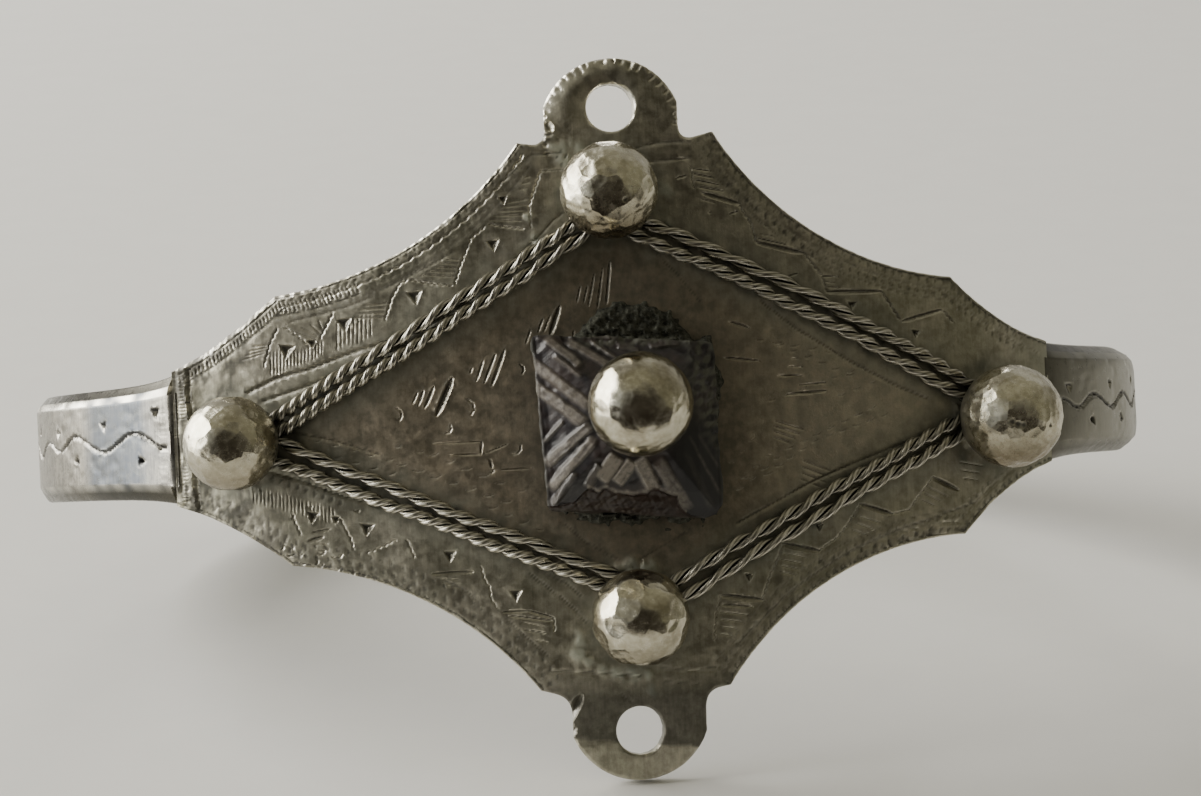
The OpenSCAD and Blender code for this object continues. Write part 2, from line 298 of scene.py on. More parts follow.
class Engraving:
    """Cuts of the graver over the points of a sheet, with the tones painted with each: dirt and bare
    silver, and painted highlight and shade on the walls.

    Each cut keeps how close every point lies to it, so that the sheet can be made finer there.
    """

    def __init__(self, x, z, seed):
        """Starts with a blank sheet, and the hand's unsteadiness drawn from a seed."""
        self.x, self.z = x, z
        self.order = np.argsort(x)
        self.sorted_x = x[self.order]
        for layer in ("groove", "burr", "lump", "dark", "shine", "solder"):
            setattr(self, layer, np.zeros(len(x)))
        self.close, self.close_fine = (np.full(len(x), -FAR) for _ in range(2))
        self.vary = random.Random(seed).uniform

    def window(self, xs, zs, pad):
        """The points near a stroke."""
        a, b = np.searchsorted(self.sorted_x, (min(xs) - pad, max(xs) + pad))
        pick = self.order[a:b]
        z = self.z[pick]
        return pick[(z > min(zs) - pad) & (z < max(zs) + pad)]

    def around(self, spot, reach):
        """The points near a spot, and where they lie from it."""
        pick = self.window((spot[0],), (spot[1],), reach)
        return pick, self.x[pick] - spot[0], self.z[pick] - spot[1]

    def keep(self, pick, **layers):
        """Raises layers at some points to the new values, where those are higher."""
        for name, values in layers.items():
            layer = getattr(self, name)
            layer[pick] = np.maximum(layer[pick], values)

    def cut(self, p, q, width, depth, lean=0.0, tip=0.3, shine=0.0, dark=0.6, fine=True):
        """A groove from p to q that narrows to its ends. Its lit wall is the one to the right or
        below, which faces the window; lean moves the bottom away from that wall."""
        pick = self.window((p[0], q[0]), (p[1], q[1]), width / 2 + REACH)
        if not len(pick):
            return
        x, z = self.x[pick], self.z[pick]
        dx, dz = q[0] - p[0], q[1] - p[1]
        length = hypot(dx, dz) or 1e-6
        share = unit(((x - p[0]) * dx + (z - p[1]) * dz) / length**2)
        away = np.hypot(x - p[0] - share * dx, z - p[1] - share * dz)
        lit_x, lit_z = (dz, -dx) if dz + 0.7 * dx > 0 else (-dz, dx)
        side = np.sign((x - p[0]) * lit_x + (z - p[1]) * lit_z)
        taper = 1 - (1 - tip) * np.abs(2 * share - 1) ** 4
        half = width / 2 * taper
        signed, bottom = away * side, -lean * half
        lit = signed > bottom
        wall = np.where(lit, (half - signed) / (half - bottom), (half + signed) / (half + bottom))
        wall = unit(wall)
        raised = unit(1 - np.abs(away - half - BURR_OUT) / BURR_W)
        # painted shade over the wall away from the window, and dark dirt on the groove's floor
        shadow = np.where(lit, unit(wall * 2 - 1.3), unit(wall * 2.2))
        # painted highlight on the lit wall, and a fainter one on the burr beside the shaded wall
        bright = np.where(lit, unit(wall * 3) * unit((1 - wall) * 4), 0.35 * raised)
        burr = BURR_SHARE * depth * raised * taper
        self.keep(pick, groove=depth * taper * wall, burr=burr, dark=dark * shadow, shine=shine * bright)
        self.keep(pick, close=half - away, close_fine=half - away if fine else -FAR)

    def line(self, points, width, depth, **look):
        """A groove along a path, drawn in short passes of an unsteady hand."""
        for p, q in zip(points, points[1:]):
            own = depth * self.vary(0.75, 1.15)
            self.cut(p, q, width * self.vary(0.85, 1.15), own, tip=0.85, **look)

    def rocked(self, points, swing, pitch, width, depth, **look):
        """A line rocked from side to side with a flat graver: a row of tiny slanting cuts."""
        legs = []
        for k, ((x, z), (tx, tz)) in enumerate(spaced(points, pitch / 2)):
            off = swing * (1 if k % 2 else -1) * self.vary(0.75, 1.2)
            legs.append((x - tz * off, z + tx * off))
        for p, q in zip(legs, legs[1:]):
            self.cut(p, q, width, depth * self.vary(0.7, 1.2), tip=0.7, **look)

    def ladder(self, points, low, high, pitch, width, depth, slant=0.0, **look):
        """Short cuts across a path, from low to high on its left side."""
        for (x, z), (tx, tz) in spaced(points, pitch):
            own = self.vary(0.8, 1.1)
            a = (x - tz * low - tx * slant / 2, z + tx * low - tz * slant / 2)
            b = (x - tz * high * own + tx * slant / 2, z + tx * high * own + tz * slant / 2)
            self.cut(a, b, width, depth * self.vary(0.7, 1.2), tip=0.6, **look)

    def triangle(self, spot, size, depth, turn=0.0, shine=0.3):
        """A punched triangle with its point down: three walls, the right one lit."""
        pick, x, z = self.around(spot, size * 1.5 + 0.2)
        walls = []
        for k in range(3):
            a = turn + pi / 2 + k * tau / 3
            walls.append(size * 0.5 - (x * cos(a) + z * sin(a)))
        inside = np.min(walls, axis=0)
        pit = unit(inside / (size * 0.42))
        rim = unit(1 - np.abs(inside + 0.04) / BURR_W)
        lit = (np.argmin(walls, axis=0) == 2) & (inside > 0)
        # the walls away from the window get painted shade, the lit wall and the rim a painted highlight
        dark = np.where(lit, 0.1, 0.95) * unit(pit * 3)
        bright = np.maximum(lit * shine, rim * 0.25 * shine)
        self.keep(pick, groove=depth * pit, burr=0.15 * depth * rim, dark=dark, shine=bright)
        self.keep(pick, close=inside, close_fine=inside)

    def dent(self, spot, length, depth, turn, dark=0.9):
        """A soft oval dent, dark with dirt."""
        pick, x, z = self.around(spot, length)
        along = x * cos(turn) + z * sin(turn)
        over = x * sin(turn) - z * cos(turn)
        near = unit(1.15 - np.hypot(along / (length * 0.5), over / (length * 0.27)))
        # a painted highlight on the rim's lower right side, which faces the window
        rim = unit(1 - np.abs(near - 0.1) * 8) * (x - z > 0)
        self.keep(pick, groove=depth * near, dark=dark * unit(near * 1.8), shine=0.5 * dark * rim)
        self.keep(pick, close=near - 0.1)

    def crescent(self, spot, length, width, depth, turn, bend=0.3, **look):
        """A short curved cut."""
        c, s = cos(turn), sin(turn)
        arc = [(t * length / 2, bend * length * (t * t - 0.5)) for t in (-1, -0.4, 0.4, 1)]
        path = [(spot[0] + a * c - b * s, spot[1] + a * s + b * c) for a, b in arc]
        for p, q, tip in zip(path, path[1:], (0.55, 1.0, 0.55)):
            self.cut(p, q, width, depth * (0.6 + 0.4 * tip), tip=tip, **look)

    def shade_and_crust(self, points, radius, dark=0.0, solder=0.0):
        """Painted shade with dirt, and solder crust, that gather along a path and thin out beside it."""
        for p, q in zip(points, points[1:]):
            pick = self.window((p[0], q[0]), (p[1], q[1]), radius)
            x, z = self.x[pick], self.z[pick]
            dx, dz = q[0] - p[0], q[1] - p[1]
            share = unit(((x - p[0]) * dx + (z - p[1]) * dz) / (dx * dx + dz * dz))
            near = unit(1 - np.hypot(x - p[0] - share * dx, z - p[1] - share * dz) / radius)
            near = near * (1 + 0.35 * ripple(x, z, 1.3, 77))
            self.keep(pick, dark=dark * near, solder=solder * near)

    def mound(self, spot, radius, height, solder=1.0, grain=0.5):
        """A lump of solder."""
        pick, dx, dz = self.around(spot, radius * 1.6)
        x, z = self.x[pick], self.z[pick]
        rough = np.maximum(1 + 0.6 * ripple(x, z, radius, int(radius * 1000)) * grain, 0.4)
        lean_x = dx * (1 + 0.35 * sin(radius * 90)) + 0.3 * dz
        swell = unit(1.15 - np.hypot(lean_x, dz) / (radius * rough))
        swell = swell * swell * (3 - 2 * swell)
        crumb = 1 + 0.35 * grain * ripple(x, z, 0.35, int(radius * 900))
        self.keep(pick, lump=height * swell * crumb, solder=solder * swell, close=swell - 0.2)


def spaced(points, pitch):
    """Evenly spaced points along a path, each with the path's direction there."""
    walk, carry = [], 0.0
    for p, q in zip(points, points[1:]):
        dx, dz = q[0] - p[0], q[1] - p[1]
        length = hypot(dx, dz)
        if not length:
            continue
        t = carry
        while t < length:
            walk.append(((p[0] + dx * t / length, p[1] + dz * t / length), (dx / length, dz / length)))
            t += pitch
        carry = t - length
    return walk


def rim_path(quarter, part, inset, start=0.0, end=1.0, step=0.5):
    """A path along one hollow of the plate's rim, set in from it. Part 0 runs from the flare
    corner to the cusp, part 1 from the cusp to the band."""
    (cx, cz), radius, p, q = HOLLOWS[quarter][part]
    a, b = (atan2(r[1] - cz, r[0] - cx) for r in (p, q))
    turn = (b - a + pi) % tau - pi
    count = max(2, round(abs(turn) * radius * (end - start) / step))
    angles = [a + turn * (start + (end - start) * k / count) for k in range(count + 1)]
    reach = radius + inset
    return [(cx + reach * cos(k), cz + reach * sin(k)) for k in angles]


def plate_points(pixels, rise=0.0):
    """Plate x and z of each pixel of a path."""
    return [at(*p, rise=rise) for p in pixels]


# The plate's engraving, placed by the photograph's pixels

# Zigzag lines of the outer border
ZIGZAGS = {
    "upper_left": (
        ((264, 367), (270, 345), (278, 328)),
        ((285, 328), (298, 336), (311, 348)),
        ((320, 339), (327, 324), (334, 311)),
        ((385, 320), (391, 300), (400, 283), (409, 280)),
        ((411, 280), (432, 284), (453, 286)),
        ((455, 284), (461, 264), (471, 238), (486, 226)),
        ((489, 224), (506, 227), (524, 229)),
        ((531, 228), (529, 206), (541, 171), (562, 170)),
    ),
    "upper_right": (
        ((690, 166), (694, 190)),
        ((756, 242), (750, 222), (738, 204)),
        ((804, 253), (815, 268), (823, 277)),
        ((827, 292), (822, 277)),
        ((881, 291), (892, 308), (901, 322)),
        ((943, 311), (948, 317), (953, 323)),
    ),
    "lower_left": (
        ((293, 518), (298, 528), (302, 537)),
        ((340, 518), (346, 530), (352, 542), (354, 553)),
        ((407, 540), (411, 549), (415, 558)),
        ((481, 566), (484, 579), (490, 588), (491, 599), (499, 610)),
        ((554, 618), (555, 633)),
        ((367, 553), (382, 547), (397, 539)),
    ),
    "lower_right": (
        ((762, 600), (767, 585), (772, 571), (784, 544)),
        ((819, 551), (828, 544), (837, 538), (848, 524), (860, 505)),
        ((892, 514), (901, 512), (909, 510), (922, 493), (933, 477)),
        ((721, 596), (716, 615), (715, 640)),
        ((782, 545), (776, 562)),
    ),
}
# Bright cuts, their lit walls painted bright: ends, width in millimetres, and how bright
BRIGHT_CUTS = (
    # inner field, upper left
    ((417.5, 392), (412.5, 404), 0.16, 0.75), ((423.6, 390), (418, 406), 0.18, 0.8),
    ((433.6, 387), (424.5, 408), 0.24, 0.9), ((452, 379), (436.5, 415), 0.42, 1.0),
    ((472.6, 367), (470, 374), 0.14, 0.6), ((483.4, 360), (476.5, 381), 0.18, 0.9),
    ((495.6, 354), (484.5, 382.5), 0.2, 0.75), ((504.6, 350), (492, 385.5), 0.26, 1.0),
    ((530.8, 330), (526, 344), 0.14, 0.8), ((543, 319), (538.5, 332), 0.16, 0.8),
    ((550, 316), (544, 332), 0.14, 0.5), ((559.5, 307), (550.5, 335), 0.34, 1.0),
    ((580.6, 286), (576.8, 303), 0.14, 0.6), ((587.5, 286), (583.5, 304), 0.13, 0.45),
    ((594.4, 274), (588.5, 306), 0.15, 0.5), ((602.8, 268), (597.5, 309), 0.15, 0.35),
    ((610, 262), (606.6, 304), 0.2, 0.6), ((574, 330), (573, 338), 0.12, 0.3),
    # outer border, upper right
    ((676.5, 178.5), (686, 176), 0.16, 0.4), ((693, 169), (711, 171.5), 0.13, 0.3),
    ((694, 174.5), (713, 178), 0.14, 0.35), ((695, 180.5), (719, 185), 0.15, 0.35),
    ((697, 187), (724, 191.5), 0.15, 0.35), ((703, 193.5), (739, 204), 0.3, 0.5),
    ((729, 214.5), (737, 212), 0.16, 0.5), ((757, 238.5), (786, 245), 0.14, 0.3),
    ((757, 243), (804, 253.5), 0.3, 0.55), ((788, 276.5), (797, 274), 0.14, 0.4),
    ((822, 276.5), (838, 277), 0.12, 0.3), ((827, 292.5), (881, 291.5), 0.28, 0.65),
    ((903, 321.5), (941, 310.5), 0.28, 0.7),
    # outer border, lower left
    ((309, 541), (323, 537), 0.26, 0.5), ((312, 533), (330, 529), 0.16, 0.3),
    ((433, 574), (473, 572), 0.22, 0.35), ((503, 612.5), (528, 611), 0.2, 0.55),
    ((528, 611), (554, 618), 0.2, 0.55), ((508, 616), (554, 621), 0.16, 0.5),
    ((524, 630), (546, 633), 0.12, 0.3),
    # outer border, lower right
    ((722, 596), (762, 600), 0.34, 0.4), ((722, 605), (752, 607), 0.2, 0.25),
    ((783, 544.5), (819, 551), 0.34, 0.4), ((860, 504.5), (892, 514), 0.3, 0.45),
    ((933, 477.5), (958, 490), 0.3, 0.35),
    # inner field, right
    ((730, 322), (749, 328), 0.22, 0.45), ((725, 358), (759, 361), 0.2, 0.35),
    ((778, 375.5), (802, 376), 0.16, 0.35), ((800, 385), (826, 383), 0.14, 0.2),
    ((788, 394.5), (826, 391), 0.22, 0.6),
    # inner field, lower left
    ((433, 443.5), (482, 441.5), 0.14, 0.3), ((482, 442), (481, 454), 0.16, 0.4),
    ((449, 455), (482, 454.5), 0.12, 0.2), ((484, 454), (508, 444), 0.12, 0.25),
    ((501, 470), (532, 468), 0.14, 0.35), ((490, 459), (492, 468), 0.2, 0.3),
)
# Groups of parallel strokes: first stroke's ends, last stroke's ends, how many, width, brightness
HATCHES = (
    (((240, 361), (266, 353)), ((252, 347), (268, 345)), 4, 0.2, 0.25),
    (((292, 331), (318, 341)), ((318, 320), (323, 331)), 4, 0.2, 0.1),
    (((352, 318), (384, 318)), ((362, 306), (390, 303)), 4, 0.18, 0.1),
    (((271, 350), (271, 378)), ((309, 348), (309, 362)), 12, 0.15, 0.45),
    (((313, 346), (313, 361)), ((322, 340), (322, 356)), 4, 0.14, 0.3),
    (((337, 322), (337, 352)), ((371, 311), (371, 339)), 9, 0.14, 0.2),
    (((254, 486), (254, 503)), ((334, 508), (334, 525)), 22, 0.14, 0.0),
    (((421, 275), (455, 277)), ((444, 259), (459, 260)), 5, 0.17, 0.2),
    (((489, 220), (524, 221)), ((506, 203), (529, 199)), 5, 0.17, 0.2),
    (((519, 190), (528, 188)), ((524, 178), (531, 176)), 3, 0.15, 0.15),
    (((700, 199), (716, 203)), ((707, 212), (712, 213)), 2, 0.14, 0.1),
    (((759, 234), (775, 237)), ((764, 226), (768, 227)), 2, 0.14, 0.1),
    (((822, 282), (836, 283)), ((826, 287), (840, 288)), 2, 0.14, 0.15),
    (((720, 612), (748, 615)), ((720, 634), (732, 636)), 4, 0.2, 0.15),
    (((781, 553), (808, 558)), ((780, 572), (795, 575)), 4, 0.2, 0.15),
    (((858, 516), (880, 523)), ((852, 530), (868, 536)), 3, 0.22, 0.2),
    (((927, 487), (948, 497)), ((921, 500), (935, 506)), 3, 0.22, 0.2),
    (((958, 462), (984, 466)), ((962, 478), (978, 480)), 3, 0.16, 0.1),
    (((803, 461), (838, 474)), ((800, 479), (822, 488)), 4, 0.2, 0.2),
    (((774, 421), (805, 430)), ((773, 437), (790, 443)), 4, 0.22, 0.2),
    (((786, 366), (803, 367)), ((790, 358), (800, 359)), 2, 0.14, 0.15),
    (((314, 545), (330, 543)), ((318, 551), (330, 550)), 2, 0.16, 0.15),
    (((520, 622), (548, 628)), ((534, 640), (550, 643)), 3, 0.14, 0.15),
    (((436, 578), (462, 580)), ((446, 586), (462, 588)), 3, 0.14, 0.15),
)
# Punched triangles: place and size in millimetres
TRIANGLES = (
    ((287, 350), 0.62), ((344, 323), 0.6), ((312, 343), 0.36), ((415, 296), 0.6), ((493, 244), 0.5),
    ((503, 199), 0.36), ((313, 516), 0.52), ((367, 528), 0.55), ((336, 519), 0.34), ((450, 555), 0.5),
    ((516, 594), 0.5), ((819, 526), 0.36), ((749, 576), 0.34), ((852, 305), 0.4), ((916, 333), 0.36),
)
# Short curved punches: place, length in millimetres, turn in degrees, brightness
CRESCENTS = (
    ((400, 414), 0.75, 100, 0.5), ((472, 407), 0.85, 98, 0.8), ((449.5, 430), 0.55, 60, 1.0),
    ((522.5, 369), 0.55, 100, 0.6), ((518, 451), 0.7, 45, 0.8), ((492, 472), 0.3, 40, 0.5),
    ((291.5, 555), 0.45, 5, 0.6), ((302, 564), 0.5, -10, 0.85), ((319, 567), 0.6, 15, 0.95),
    ((336, 570), 0.6, 12, 0.95), ((352, 574), 0.4, 0, 0.4), ((363, 576), 0.4, -5, 0.6),
    ((317, 562), 0.35, 80, 0.5), ((322, 553), 0.45, 20, 0.6), ((338, 557), 0.6, 15, 0.8),
    ((283, 547), 0.35, 70, 0.5), ((292, 548), 0.3, 10, 0.6), ((301, 555), 0.3, 10, 0.5),
    ((310, 507), 0.3, 20, 0.3), ((293, 517), 0.3, 80, 0.4), ((357, 511), 0.3, 0, 0.4),
)
# Single lines: points, width and depth in millimetres, brightness
FINE_LINES = (
    # beside the ropes
    (((247, 393), (275, 379), (307, 370), (350, 353), (393, 341), (440, 320)), 0.42, 0.15, 0.75),
    (((262, 402), (300, 389), (345, 371), (380, 356), (420, 339)), 0.36, 0.12, 0.45),
    (((440, 320), (470, 300), (523, 252), (562, 213)), 0.3, 0.1, 0.5),
    (((529, 573), (549, 588), (568, 603), (587, 622)), 0.24, 0.06, 0.3),
    (((544, 573), (566, 583), (582, 596)), 0.2, 0.06, 0.15),
    (((650, 246), (676, 272), (700, 300)), 0.16, 0.05, 0.0),
    (((668, 250), (720, 276), (760, 296)), 0.16, 0.05, 0.0),
    # inner side of the ropes
    (((737, 524), (774, 503), (812, 482), (853, 464), (894, 447), (940, 432)), 0.26, 0.1, 0.0),
    (((287, 432), (330, 440), (380, 455)), 0.3, 0.09, 0.0),
    (((272, 472), (300, 480), (340, 495), (385, 508)), 0.4, 0.12, 0.2),
    (((760, 300), (800, 331), (850, 362), (900, 388), (930, 400)), 0.22, 0.07, 0.0),
    # the third line of the border
    (((380, 291), (418, 272), (438, 261), (453, 252)), 0.2, 0.05, 0.15),
    (((504, 181), (518, 168), (532, 154), (546, 155)), 0.18, 0.05, 0.3),
    (((290, 322), (314, 316), (347, 307), (372, 297)), 0.2, 0.06, 0.35),
    (((445, 581), (463, 589), (473, 596)), 0.2, 0.05, 0.3),
    (((506, 619), (526, 636), (549, 656)), 0.22, 0.05, 0.3),
    (((737, 645), (762, 620), (786, 596), (811, 577), (851, 551), (894, 532), (935, 518), (977, 502)),
     0.24, 0.06, 0.22),
    # lines that cross under each ear
    (((530, 156), (546, 154), (561, 153)), 0.2, 0.06, 0.3),
    (((541, 171), (562, 170)), 0.2, 0.06, 0.3),
    (((636, 148), (652, 144), (672, 142), (690, 142)), 0.24, 0.07, 0.4),
    (((648, 162), (670, 160), (690, 158)), 0.24, 0.07, 0.4),
    (((541, 671), (582, 672), (640, 676)), 0.24, 0.06, 0.2),
    (((660, 668), (690, 671), (715, 668)), 0.2, 0.05, 0.15),
    (((665, 682), (700, 684)), 0.18, 0.05, 0.1),
    (((619, 693), (634, 703)), 0.16, 0.05, 0.25),
    (((705, 420), (706, 450), (712, 480)), 0.22, 0.08, 0.0),
    (((640, 560), (665, 545), (690, 530)), 0.2, 0.06, 0.0),
    (((560, 520), (590, 545), (618, 560)), 0.2, 0.06, 0.1),
    (((690, 340), (699, 352), (702, 362)), 0.3, 0.1, 0.1),
)
# Rows of short dashes: ends of the row, how many, length in millimetres, brightness
DASH_ROWS = (
    ((433, 455), (484, 476), 4, 0.62, 0.4), ((401, 465), (506, 502), 7, 0.62, 0.35),
    ((398, 447), (420, 452), 2, 0.45, 0.4), ((500, 483), (522, 491), 2, 0.55, 0.25),
    ((300, 447), (392, 474), 6, 0.5, 0.25), ((318, 441), (390, 460), 5, 0.45, 0.2),
    ((493, 508), (540, 530), 4, 0.5, 0.2), ((740, 489), (790, 448), 5, 0.5, 0.35),
    ((745, 478), (770, 455), 3, 0.4, 0.25), ((790, 448), (872, 408), 7, 0.55, 0.4),
    ((768, 474), (815, 441), 5, 0.5, 0.35), ((815, 441), (885, 415), 6, 0.5, 0.3),
    ((733, 462), (752, 440), 3, 0.4, 0.2), ((772, 400), (850, 372), 6, 0.5, 0.12),
    ((780, 345), (850, 375), 6, 0.5, 0.15), ((760, 340), (830, 352), 5, 0.5, 0.12),
    ((842, 395), (872, 383), 3, 0.4, 0.2),
)
# Rows of scale-like dents: ends of the row, how many, size in millimetres
SCALE_ROWS = (
    ((272, 478), (340, 503), 9, 0.42), ((300, 478), (325, 490), 4, 0.36),
    ((262, 523), (300, 552), 6, 0.42), ((330, 566), (420, 590), 9, 0.4),
    ((728, 185), (812, 255), 10, 0.38), ((930, 530), (820, 562), 9, 0.4),
    ((560, 152), (575, 166), 4, 0.3), ((556, 158), (566, 172), 3, 0.26),
)
# Solder that ran out beside the beads: place, radius and height in millimetres
SOLDER = (
    ((579, 654), 0.7, 0.1), ((580, 641), 0.65, 0.1), ((588, 661), 0.5, 0.09), ((603, 670), 0.5, 0.08),
    ((618, 673), 0.6, 0.08), ((634, 673), 0.6, 0.1), ((648, 674), 0.5, 0.09), ((636, 571), 0.9, 0.2),
    ((645, 569), 0.6, 0.24), ((652, 566), 0.5, 0.12), ((565, 160), 0.8, 0.1), ((560, 148), 0.6, 0.08),
    ((580, 150), 0.7, 0.09), ((536, 240), 0.5, 0.06), ((528, 218), 0.35, 0.08), ((250, 486), 0.4, 0.14),
    ((285, 442), 0.7, 0.12), ((664, 190), 0.6, 0.06), ((668, 224), 0.3, 0.1), ((958, 420), 0.8, 0.12),
    ((962, 400), 0.6, 0.1), ((652, 690), 0.5, 0.05),
)
# Heights over the plate's back: where its bevel ends, and where the front's walls end
BACK_BEVEL, WALL_FOOT = 0.14, 0.24

# Rows of dents inside the rim: how far in and how long, in millimetres; the lower left's are coarser
DENT_ROWS, COARSE_DENT_ROWS = ((0.34, 0.34), (0.98, 0.3)), ((0.58, 0.44), (1.15, 0.36))
# Where the dents have faded out before the band at the right
DENTS_END = 23.4


def engrave_border(work):
    """The dented rim, the rocked line inside it and the rows that follow the outline."""
    for quarter, row in QUARTERS.items():
        lit = quarter == "upper_left"
        inward = -1 if row[0] * row[1] > 0 else 1
        for part in (0, 1):
            hatched = lit and part == 1
            bevel = 0.34 if hatched else 0.16
            work.line(rim_path(quarter, part, bevel), 0.16, 0.06, dark=1.0, fine=lit)
            if hatched:
                continue
            coarse = quarter == "lower_left"
            pitch, strong = (0.6, 0.9) if coarse else (0.5, 0.6)
            for inset, size in COARSE_DENT_ROWS if coarse else DENT_ROWS:
                for spot, (tx, tz) in spaced(rim_path(quarter, part, inset, step=0.3), pitch):
                    turn = atan2(tz, tx) + inward * work.vary(0.5, 1.0)
                    fade = float(np.clip((DENTS_END - spot[0]) / 1.4, 0.15, 1))
                    work.dent(spot, size * work.vary(0.8, 1.2), 0.045 * fade, turn, dark=strong * fade)
            if coarse and part == 0:
                continue
            rocked = rim_path(quarter, part, 0.66 if lit else 0.72, 0.0 if part else 0.02)
            # the upper left quarter faces the window, so its cuts get a stronger painted highlight
            bright = 0.95 if lit else 0.3
            work.rocked(rocked, 0.05, 0.62, 0.16, 0.065, shine=bright, dark=0.3, fine=lit)
            if part == 0:
                third = rim_path(quarter, part, 1.3, 0.04)
                work.line(third, 0.14, 0.04, shine=0.4 if lit else 0.2, dark=0.4, fine=False)
    for part, start, width, slant in ((1, 0.0, 0.4, 0.14), (0, 0.72, 0.6, -0.1)):
        hatched = rim_path("upper_left", part, 0.44, start, step=0.3)
        work.ladder(hatched, 0.0, width, 0.23, 0.12, 0.06, slant=slant, shine=1.0, dark=0.1)
        inner = rim_path("upper_left", part, 0.52 + width, start)
        work.line(inner, 0.2, 0.06, dark=0.9, fine=False)


def along(a, b, t):
    """The point at a share of the way from a to b."""
    return a[0] + (b[0] - a[0]) * t, a[1] + (b[1] - a[1]) * t


def rope_line(row, t):
    """Plate x and z of a rope's middle line at a share of its length."""
    x0, z0, z_mid, x1, z1 = row[:5]
    z = (1 - t) * (1 - 2 * t) * z0 + 4 * t * (1 - t) * z_mid + t * (2 * t - 1) * z1
    return x0 + (x1 - x0) * t, z


def engrave_plate(work):
    """All of the plate's engraving."""
    engrave_border(work)
    for quarter, lines in ZIGZAGS.items():
        # the upper left zigzags get a stronger painted highlight, on the side towards the window
        bright = 0.95 if quarter == "upper_left" else 0.4
        for pixels in lines:
            path = plate_points(pixels)
            work.rocked(path, 0.04, 0.34, 0.15, 0.07, shine=bright, dark=0.5)
    for a, b, width, bright in BRIGHT_CUTS:
        deep = 0.5 * width + 0.01
        work.cut(at(*a), at(*b), width, deep, lean=0.35, tip=0.5, shine=bright, dark=1.0)
    for (a, b), (c, d), count, width, bright in HATCHES:
        for k in range(count):
            t = k / max(count - 1, 1)
            p, q = at(*along(a, c, t)), at(*along(b, d, t))
            work.cut(p, q, width * 0.7, 0.045, tip=0.4, shine=bright, dark=0.55)
    for spot, size in TRIANGLES:
        work.triangle(at(*spot), size * 0.85, 0.2, turn=work.vary(-0.2, 0.2), shine=1.0)
    for spot, length, turn, bright in CRESCENTS:
        work.crescent(at(*spot), length, 0.15, 0.09, radians(turn), shine=bright, lean=0.3)
    for pixels, width, depth, bright in FINE_LINES:
        path = [p for p, _t in spaced(plate_points(pixels), 0.5)] + [at(*pixels[-1])]
        work.line(path, max(width * 0.75, 0.22), depth, shine=bright, dark=0.7, fine=False)
    for a, b, count, length, bright in DASH_ROWS:
        for k in range(count):
            spot = at(*along(a, b, k / (count - 1)))
            turn = 0.1 * (1 if b[1] > a[1] else 3) + work.vary(-0.15, 0.15)
            own = length * work.vary(0.75, 1.1)
            look = work.vary(0.5, 1.1) * bright
            work.crescent(spot, own, 0.11, 0.035, turn, bend=0.12, shine=look, dark=0.45)
    for a, b, count, size in SCALE_ROWS:
        for k in range(count):
            spot = at(*along(a, b, k / (count - 1)))
            work.dent(spot, size, 0.05, work.vary(0.9, 1.6))
    engrave_neck(work)
    engrave_ears(work)
    # painted shade with dirt beside the ropes and round the beads' feet, and solder crust
    for row in ROPES.values():
        path = [rope_line(row, k / 24) for k in range(25)]
        work.shade_and_crust(path, 0.85, dark=0.85)
        work.shade_and_crust(path, 1.9, dark=0.3, solder=0.55)
    for x, z, radius, _rise in BEADS.values():
        ring = [(x + radius * cos(k), z + radius * sin(k)) for k in np.linspace(0, tau, 25)]
        work.shade_and_crust(ring, 1.3, dark=0.5, solder=0.5)
    for spot, radius, height in SOLDER:
        work.mound(at(*spot), radius, height)
    for x, z, radius, rise in BEADS.values():
        foot = sqrt(radius**2 - rise**2)
        for k in range(22):
            a, reach = tau * k / 22, foot + 0.1
            spot = (x + reach * cos(a), z + reach * sin(a))
            work.mound(spot, work.vary(0.35, 0.6), work.vary(0.15, 0.3), 0.6)


def engrave_neck(work):
    """The grooves cut across the plate's left end, before the band."""
    for x, width, depth, top, bottom in (
        (23.95, 0.4, 0.14, 3.9, -2.8),
        (23.25, 0.3, 0.2, 3.9, 0.9),
        (23.1, 0.3, 0.18, -1.6, -3.9),
    ):
        path = [(-x, top), (-x, (top + bottom) / 2), (0.1 - x, bottom)]
        work.line(path, width, depth, dark=0.6)
        work.ladder(path, -0.16, 0.16, 0.45, 0.14, depth * 0.8, shine=0.35, dark=0.5)
    for top, bottom in ((3.5, 1.2), (-1.4, -3.3)):
        work.ladder([(-23.65, top), (-23.6, bottom)], -0.22, 0.2, 0.19, 0.1, 0.05, shine=0.5, dark=0.5)


def ear_path(end, inset, start, stop, step=0.35):
    """A path round an ear, set in from its rim, between two angles from straight up or down."""
    reach = EAR_R - inset
    count = max(2, round(abs(radians(stop - start)) * reach / step))
    path = []
    for k in range(count + 1):
        a = radians(start + (stop - start) * k / count)
        x = max(-EAR_W / 2 + inset, min(EAR_W / 2 - inset, reach * sin(a)))
        path.append((x, end * (EAR_TIP - EAR_R + reach * cos(a))))
    return path


